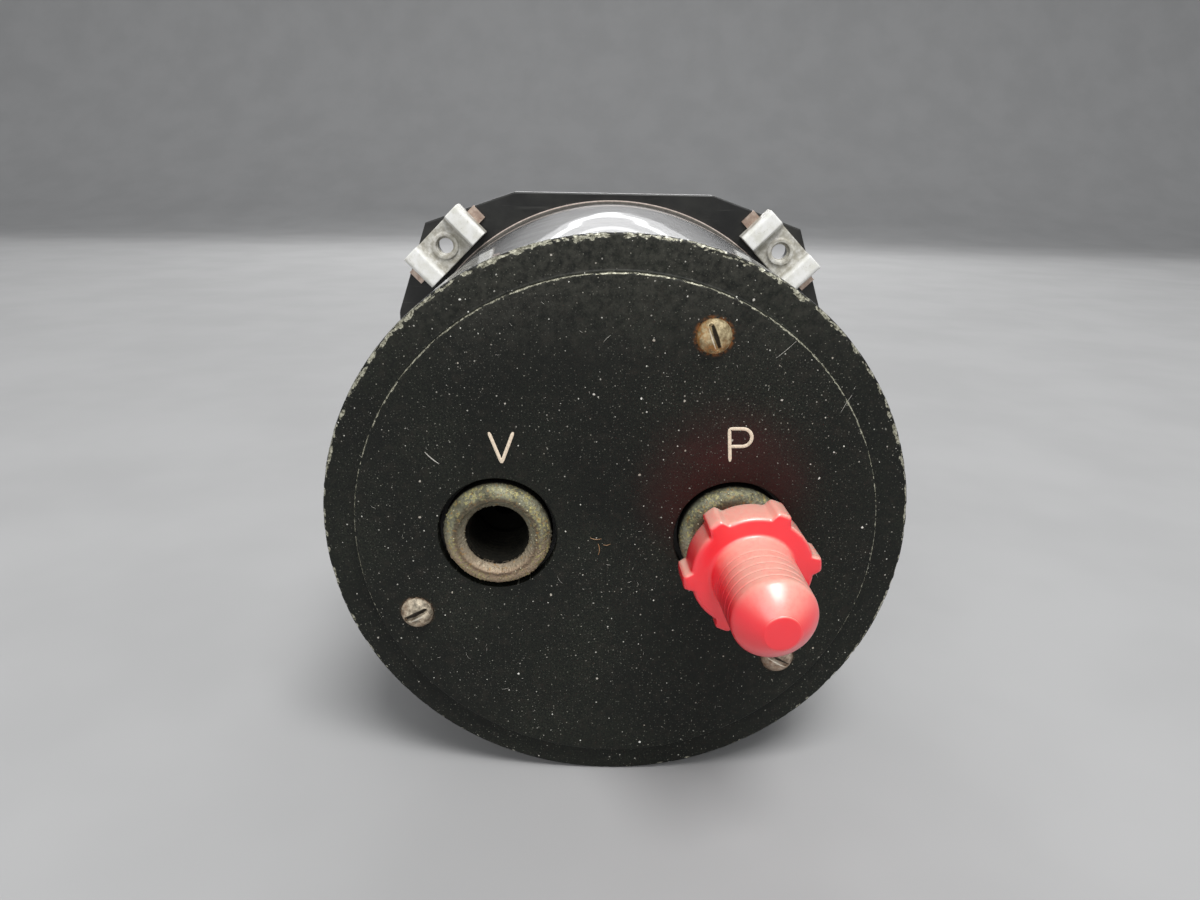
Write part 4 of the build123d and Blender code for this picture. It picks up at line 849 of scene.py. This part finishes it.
def ink(name, tone, worn=0.0):
    """Paint or fibre of one tone, darker in parts, worn through to black by the given share."""
    s = Shader(name)
    fine = s.noise(0.3, 4, 0.7)
    shade = tuple(c * 0.72 for c in tone)
    colour = s.mix(s.ramp(fine, 0.3, 0.65), shade, tone)
    if worn:
        rubbed = s.ramp(s.noise(0.5, 4, 0.7), 0.56, 0.7)
        colour = s.mix(s.times(rubbed, worn), colour, (0.03, 0.03, 0.028))
    return s.finish(Base_Color=colour, Roughness=0.55, Normal=s.bump(fine, 0.01))


def floor_look():
    s = Shader("floor")
    tone = s.ramp(s.noise(60, 3), 0.3, 0.7, 0.4, 0.43)
    colour = s.node("CombineColor", {"Red": tone, "Green": tone, "Blue": tone})
    return s.finish(Base_Color=colour.outputs[0], Roughness=0.9)


# Rust on the paint round each back screw: tone, reach and strength
RUST = (((0.3, 0.1, 0.016), 2.8, 0.8), ((0.07, 0.045, 0.025), 2.7, 0.5), ((0.09, 0.05, 0.025), 2.7, 0.6))
# Slope and half size of each back screw's slot, its tones, and how far stain and painted shade cover it
SCREWS = (
    dict(
        slot_deg=-69.3, slot_size=(0.3, 1.5), rough=(0.55, 0.68), stain_and_shade_share=0.9,
        dark=(0.17, 0.12, 0.055), light=(0.62, 0.52, 0.31), stain=(0.38, 0.16, 0.03),
    ),
    dict(
        slot_deg=28.0, slot_size=(0.42, 1.6), rough=(0.5, 0.66), stain_and_shade_share=0.55,
        dark=(0.1, 0.085, 0.06), light=(0.66, 0.57, 0.43), stain=(0.24, 0.11, 0.05),
    ),
    dict(
        slot_deg=-30.0, slot_size=(0.3, 1.7), rough=(0.4, 0.55), stain_and_shade_share=0.6,
        dark=(0.16, 0.11, 0.075), light=(0.5, 0.4, 0.31), stain=(0.25, 0.12, 0.05),
    ),
)
CLIP_REAR_Y = -5.25
GASKET_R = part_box("case_gasket")[1].x / MM
ENAMEL_SIDE, ENAMEL_BACK, SATIN = enamel_gloss(), enamel_back(), satin_black()
CLIP, PORT, PLUG_RED, GLASS, TAN = dull_plate(), port_metal(), plug_plastic(), clear_glass(), gasket()
RING_BLACK = matt("ring_black", (0.006, 0.006, 0.006), (0.02, 0.02, 0.02), (0.5, 0.65))
DIAL_BLACK = matt(
    "dial_black", (0.0095, 0.0095, 0.01), (0.02, 0.02, 0.021), (0.7, 0.85),
    size=0.18, depth=0.008, speck=(0.16, 0.16, 0.15), share=0.08,
)
RUBBER = matt("seal_rubber", (0.012, 0.012, 0.012), (0.035, 0.034, 0.032), (0.7, 0.85), size=0.5)
# Near-black painted shade for the thread inside the vent bore.
BORE_SHADE = matt("bore_shade_black", (0.004, 0.004, 0.003), (0.012, 0.011, 0.008), (0.8, 0.95), shine=0.1)
BRASS = metal(
    "brass", (0.44, 0.29, 0.11), (0.68, 0.5, 0.24), (0.22, 0.38), 2.0,
    stain=(1.5, (0.2, 0.11, 0.04), 0.5),
)
STEEL = metal("steel", (0.3, 0.3, 0.3), (0.6, 0.6, 0.59), (0.2, 0.34), 1.2)
DARK_STEEL = metal(
    "dark_steel", (0.03, 0.03, 0.031), (0.1, 0.1, 0.1), (0.35, 0.5), 0.6,
    stain=(0.5, (0.16, 0.07, 0.03), 0.5),
)
SPRING = metal("spring_bronze", (0.42, 0.23, 0.1), (0.72, 0.47, 0.25), (0.2, 0.35), 1.6)
COPPER = metal(
    "strip_copper", (0.5, 0.36, 0.29), (0.76, 0.62, 0.52), (0.35, 0.5), 1.0,
    stain=(0.7, (0.3, 0.16, 0.09), 0.6), metallic=0.75, depth=0.012,
)
POINTER_WHITE = ink("pointer_white", (0.78, 0.77, 0.72), 0.1)
DIAL_WHITE = ink("dial_white", (0.76, 0.75, 0.7), 0.15)
DIAL_GREEN = ink("dial_green", (0.045, 0.3, 0.09), 0.15)
DIAL_RED = ink("dial_red", (0.55, 0.03, 0.025), 0.15)
LETTER = ink("letter_cream", (0.93, 0.78, 0.6), 0.3)
LINT = ink("lint", (0.5, 0.48, 0.43))
RUSTY_LINT = ink("lint_brown", (0.3, 0.17, 0.08))


def numbered(stem, count):
    return [f"{stem}_{index}" for index in range(1, count + 1)]


LOOKS = (
    (SATIN, ["mounting_flange"]),
    (TAN, ["case_gasket"]),
    (RING_BLACK, ["shade_ring"]),
    (RUBBER, ["glass_gasket", "base_gasket"]),
    (GLASS, ["cover_glass"]),
    (DIAL_BLACK, ["dial_plate"]),
    (POINTER_WHITE, ["pointer"]),
    (PORT, ["port_base"]),
    (SPRING, ["hairspring", "bourdon_tube"]),
    (COPPER, numbered("clip_strip", 4)),
    (DARK_STEEL, ["snap_ring"] + numbered("dial_screw", 2) + numbered("case_screw", 4)),
    (STEEL, ["stop_pin", "pointer_arbor", "sector_arbor", "tail_pin", "link", "tip_pin"]),
    (STEEL, numbered("movement_screw", 3)),
    (BRASS, ["spring_collet", "spring_stud", "front_plate", "rear_plate", "sector_gear", "tube_tip"]),
    (BRASS, ["restrictor"] + numbered("dial_post", 2) + numbered("pillar", 3)),
)
for look, names in LOOKS:
    for name in names:
        mesh = nodes[name].data
        if not mesh.materials:
            mesh.materials.append(look)
        for place in nodes[name].material_slots:
            place.material = look

# Case, plug, rings, screws and clips
PANEL_SCREW_R = 44.45
CLIP_THREAD = {"root_r": 1.73, "crest_r": 1.4, "pitch": 0.79}
VENT_THREAD = {"root_r": RING_BORE_R - 0.02, "crest_r": 3.98, "pitch": 0.94}

shell = new_piece("case_shell", build_shell(), ENAMEL_SIDE, 40)
shell.data.materials.append(ENAMEL_BACK)
for face in shell.data.polygons:
    face.material_index = int(face.center.y < (RIM_Y + RIM_ROUND * 0.4) * MM)
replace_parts(shell, "case_drum")
plug = new_piece("plug_body", build_plug(), PLUG_RED, 50, body="plug")
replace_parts(plug, "protective_plug")

for name, x in (("vent_ring", -PORT_X), ("pressure_ring", PORT_X)):
    new_piece(name, crusted_ring(x, x), PORT, 70)
thread = thread_insert(-PORT_X, 0, -62.3, -52.0, **VENT_THREAD, steps=96)
new_piece("vent_thread", thread, BORE_SHADE, 60)

for index, settings in enumerate(SCREWS, start=1):
    node = f"back_screw_{index}"
    look = screw_metal(f"screw_look_{index}", node, **settings)
    head = softened(node, 0.065, 2, 0.015 if index == 1 else 0.06, 0.55, domed=True)
    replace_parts(new_piece(f"face_screw_{index}", head, look, 60), node)

for index, node in enumerate(numbered("clip_nut", 4), start=1):
    nut = softened(node, 0.13, 4, 0.02, 1.4)
    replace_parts(new_piece(f"clip_{index}", nut, CLIP, 60), node)
    x, z = polar(PANEL_SCREW_R, 90 * index - 45)
    low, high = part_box(node)
    coil = thread_insert(x, z, low.y / MM + 1.6, high.y / MM - 0.1, **CLIP_THREAD)
    new_piece(f"clip_thread_{index}", coil, CLIP, 60)

# A copy of the pressure tube replaces it, on no body, with its placing baked into its mesh
tube = new_piece("pressure_tube", nodes["bourdon_tube"].data.copy(), SPRING, 60, body=None)
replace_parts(tube, "bourdon_tube")
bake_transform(tube)


# Letters by the two ports, in cream paint
LETTER_HALF_WIDTH = 0.225


def build_letters():
    bm = bmesh.new()
    section = [(-1, 0), (-0.8, 0.28), (0, 0.36), (0.8, 0.28), (1, 0), (0, -0.2)]

    def stroke(points):
        line = [Vector((x * MM, PLATEAU_Y * MM, z * MM)) for x, z in points]
        taper = [0.55] + [1.0] * (len(line) - 2) + [0.55]
        widths = [LETTER_HALF_WIDTH * MM * t for t in taper]
        sweep(bm, line, widths, [(u, -v * 0.6) for u, v in section])

    left, foot, right = (-16.66, 14.43), (-15.06, 10.24), (-13.5, 14.49)
    head, base = (14.32, 15.42), (14.7, 10.95)
    for start, end in ((left, foot), (right, foot), (head, base)):
        stroke([start] + stepped(start, end, 12))
    bowl = [head] + stepped(head, (16.05, 15.44), 4)
    bowl += arc((16.1, 14.24), 1.2, 88, -88, 14) + stepped((16.1, 13.04), (14.52, 13.0), 4)
    stroke(bowl)
    return mesh_from(bm, "port_letters")


new_piece("port_letters", build_letters(), LETTER, 70)


# Lint fibres lying on the back face
FIBRE_LIFT, FIBRE_ARCH, FIBRE_STEPS = 0.05, 0.05, 9
LINT_FIELD_R, LINT_FREE_R = 33.5, 10


def fibre(bm, x, z, turn_deg, length, bend, thick):
    points, widths = [], []
    heading = radians(turn_deg)
    for k in range(FIBRE_STEPS + 1):
        arch = FIBRE_ARCH * sin(pi * k / FIBRE_STEPS)
        points.append(Vector((x, PLATEAU_Y - FIBRE_LIFT - arch, z)) * MM)
        widths.append(thick * MM * (0.5 + 0.5 * sin(pi * (k + 0.5) / (FIBRE_STEPS + 1))))
        heading += bend / FIBRE_STEPS
        x += cos(heading) * length / FIBRE_STEPS
        z += sin(heading) * length / FIBRE_STEPS
    around = [(cos(TAU * k / 5), sin(TAU * k / 5)) for k in range(5)]
    sweep(bm, points, widths, around)


def build_lint():
    rng = random.Random(12)
    bm = bmesh.new()
    for _ in range(70):
        radius, angle = LINT_FIELD_R * math.sqrt(rng.random()), rng.uniform(0, 360)
        x, z = polar(radius, angle)
        if min(math.dist((x, z), (side * PORT_X, 0)) for side in (-1, 1)) < LINT_FREE_R:
            continue
        length = rng.uniform(0.2, 0.6) if rng.random() < 0.93 else rng.uniform(0.7, 1.4)
        fibre(bm, x, z, rng.uniform(0, 360), length, rng.uniform(-1.0, 1.0), rng.uniform(0.014, 0.026))
    # three longer ones
    fibre(bm, -25.0, 11.6, -50, 2.4, 0.25, 0.075)
    fibre(bm, 19.49, 24.81, 40, 3.2, 0.1, 0.03)
    fibre(bm, 28.4, 17.9, 70, 2.6, -0.2, 0.028)
    return mesh_from(bm, "face_lint")


new_piece("face_lint", build_lint(), LINT, 70)
brown = bmesh.new()
fibre(brown, -3.4, -0.3, -30, 1.6, 0.8, 0.06)
fibre(brown, -2.3, -1.2, -60, 1.7, -0.9, 0.07)
fibre(brown, -1.6, -1.3, -25, 1.0, 1.0, 0.05)
new_piece("brown_lint", mesh_from(brown, "brown_lint"), RUSTY_LINT, 70)

# Dial print: ticks, numbers and range arcs, raised by a paint layer
DIAL_FACE_Y, PAINT = -0.3, 0.06
SCALE_START_DEG, DEG_PER_UNIT, SCALE_END = -35.0, 10.0, 25
TICK_END_R, BAND_END_R, NUMBER_R, NUMBER_SIZE = 31.6, 33.1, 22.3, 6.6
FACE_TURN = Matrix(((-1, 0, 0), (0, 0, 1), (0, 1, 0))).to_4x4()


def plate(bm, corners):
    """A thin painted patch over corners given as (x, z)."""
    top = [bm.verts.new(Vector((x, DIAL_FACE_Y + PAINT, z)) * MM) for x, z in corners]
    low = [bm.verts.new(Vector((x, DIAL_FACE_Y - 0.01, z)) * MM) for x, z in corners]
    bm.faces.new(top)
    skin(bm, [low, top])


def tick(bm, degrees, inner, outer, width):
    x, z = polar(1, degrees)
    points = [(inner, -1), (inner, 1), (outer, 1), (outer, -1)]
    plate(bm, [(x * r - z * s * width / 2, z * r + x * s * width / 2) for r, s in points])


def band(bm, start, end, inner, outer):
    count = max(2, int(abs(end - start)))
    for k in range(count):
        a, b = start + (end - start) * k / count, start + (end - start) * (k + 1) / count
        plate(bm, [polar(inner, a), polar(outer, a), polar(outer, b), polar(inner, b)])


def scale_deg(value):
    return SCALE_START_DEG + value * DEG_PER_UNIT


def build_scale():
    bm = bmesh.new()
    for half in range(2 * SCALE_END + 1):
        if half % 10 == 0:
            start, width = 26.4, 1.1
        elif half % 2 == 0:
            start, width = 28.3, 0.6
        else:
            start, width = 29.7, 0.35
        tick(bm, scale_deg(half / 2), start, TICK_END_R, width)
    return mesh_from(bm, "dial_scale")


def build_numbers():
    bm = bmesh.new()
    for value in range(0, SCALE_END + 1, 5):
        curve = bpy.data.curves.new("number", "FONT")
        curve.body = str(value)
        curve.size = NUMBER_SIZE * MM
        curve.align_x, curve.align_y = "CENTER", "CENTER"
        curve.extrude = PAINT / 2 * MM
        curve.offset = 0.12 * MM
        holder = add_object("number", curve)
        made = evaluated(holder)
        x, z = polar(NUMBER_R, scale_deg(value))
        made.transform(Matrix.Translation(Vector((x, DIAL_FACE_Y + PAINT / 2, z)) * MM) @ FACE_TURN)
        bm.from_mesh(made)
        bpy.data.objects.remove(holder)
    return mesh_from(bm, "dial_numbers", turn_outward=False)


new_piece("dial_scale", build_scale(), DIAL_WHITE)
new_piece("dial_numbers", build_numbers(), DIAL_WHITE)
green = bmesh.new()
band(green, scale_deg(3), scale_deg(20), 31.9, BAND_END_R)
new_piece("normal_band", mesh_from(green, "normal_band"), DIAL_GREEN)
red = bmesh.new()
tick(red, scale_deg(22), 25.8, BAND_END_R, 1.0)
new_piece("limit_line", mesh_from(red, "limit_line"), DIAL_RED)

# Floor, backdrop and light. The floor leans so that flange and rim both rest on it.
FLANGE_FOOT, RIM_FOOT = Vector((0, -1.25, -41.3)) * MM, Vector((0, -60.4, -39.6)) * MM
LEAN = math.atan2(FLANGE_FOOT.z - RIM_FOOT.z, FLANGE_FOOT.y - RIM_FOOT.y)
CURVE_START_Y, CURVE_R, CURVE_STEPS, WALL_TOP, STAGE_HALF_WIDTH = 1.1, 0.5, 12, 3.0, 3.5


def build_stage():
    """A floor that curves up into a wall behind, as one sheet."""
    bm = bmesh.new()
    profile = [(y, 0) for y in (-3.0, -1.0, 0.0, CURVE_START_Y)]
    for k in range(1, CURVE_STEPS + 1):
        angle = pi / 2 * k / CURVE_STEPS
        profile.append((CURVE_START_Y + CURVE_R * sin(angle), CURVE_R - CURVE_R * cos(angle)))
    profile.append((CURVE_START_Y + CURVE_R, WALL_TOP))
    rows = [[bm.verts.new((x, y, z)) for x in (-STAGE_HALF_WIDTH, STAGE_HALF_WIDTH)] for y, z in profile]
    for row, after in zip(rows, rows[1:]):
        bm.faces.new((row[0], row[1], after[1], after[0]))
    mesh = mesh_from(bm, "floor", turn_outward=False)
    mesh.shade_smooth()
    mesh.materials.append(floor_look())
    floor = add_object("floor", mesh)
    floor.matrix_world = Matrix.Translation(FLANGE_FOOT) @ Matrix.Rotation(LEAN, 4, "X")


build_stage()


def lamp(name, place, target, size, power):
    """A flat lamp that the camera doesn't see, turned to its target."""
    data = bpy.data.lights.new(name, "AREA")
    data.shape = "RECTANGLE"
    data.size, data.size_y = size
    data.energy = power
    light = add_object(name, data)
    light.location = place
    light.rotation_euler = (Vector(target) - Vector(place)).to_track_quat("-Z", "Y").to_euler()
    light.visible_camera = False


lamp("overhead", (0.17, -0.5, 1.0), (0, -0.03, 0), (0.5, 0.4), 10.5)
lamp("rear_card", (0.02, 1.0, 0.5), (0, 0, 0.03), (0.7, 0.4), 4.5)
lamp("rear_haze", (0.0, 0.92, 0.16), (0, 0, 0.04), (2.4, 0.22), 0.9)
lamp("rear_streak", (0.0, 0.9, 0.1045), (0, 0, 0.04), (0.52, 0.006), 0.018)
lamp("rear_line", (0.0, 0.9, 0.1205), (0, 0, 0.04), (0.17, 0.004), 0.002)
lamp("front_fill", (-0.45, -1.3, 0.75), (0, -0.05, 0), (0.9, 0.7), 5)
world = bpy.data.worlds.new("studio")
world.use_nodes = True
background = world.node_tree.nodes["Background"]
background.inputs["Color"].default_value = (0.95, 0.97, 1.0, 1)
background.inputs["Strength"].default_value = 0.38
bpy.context.scene.world = world
bpy.context.scene.view_settings.view_transform = "Standard"
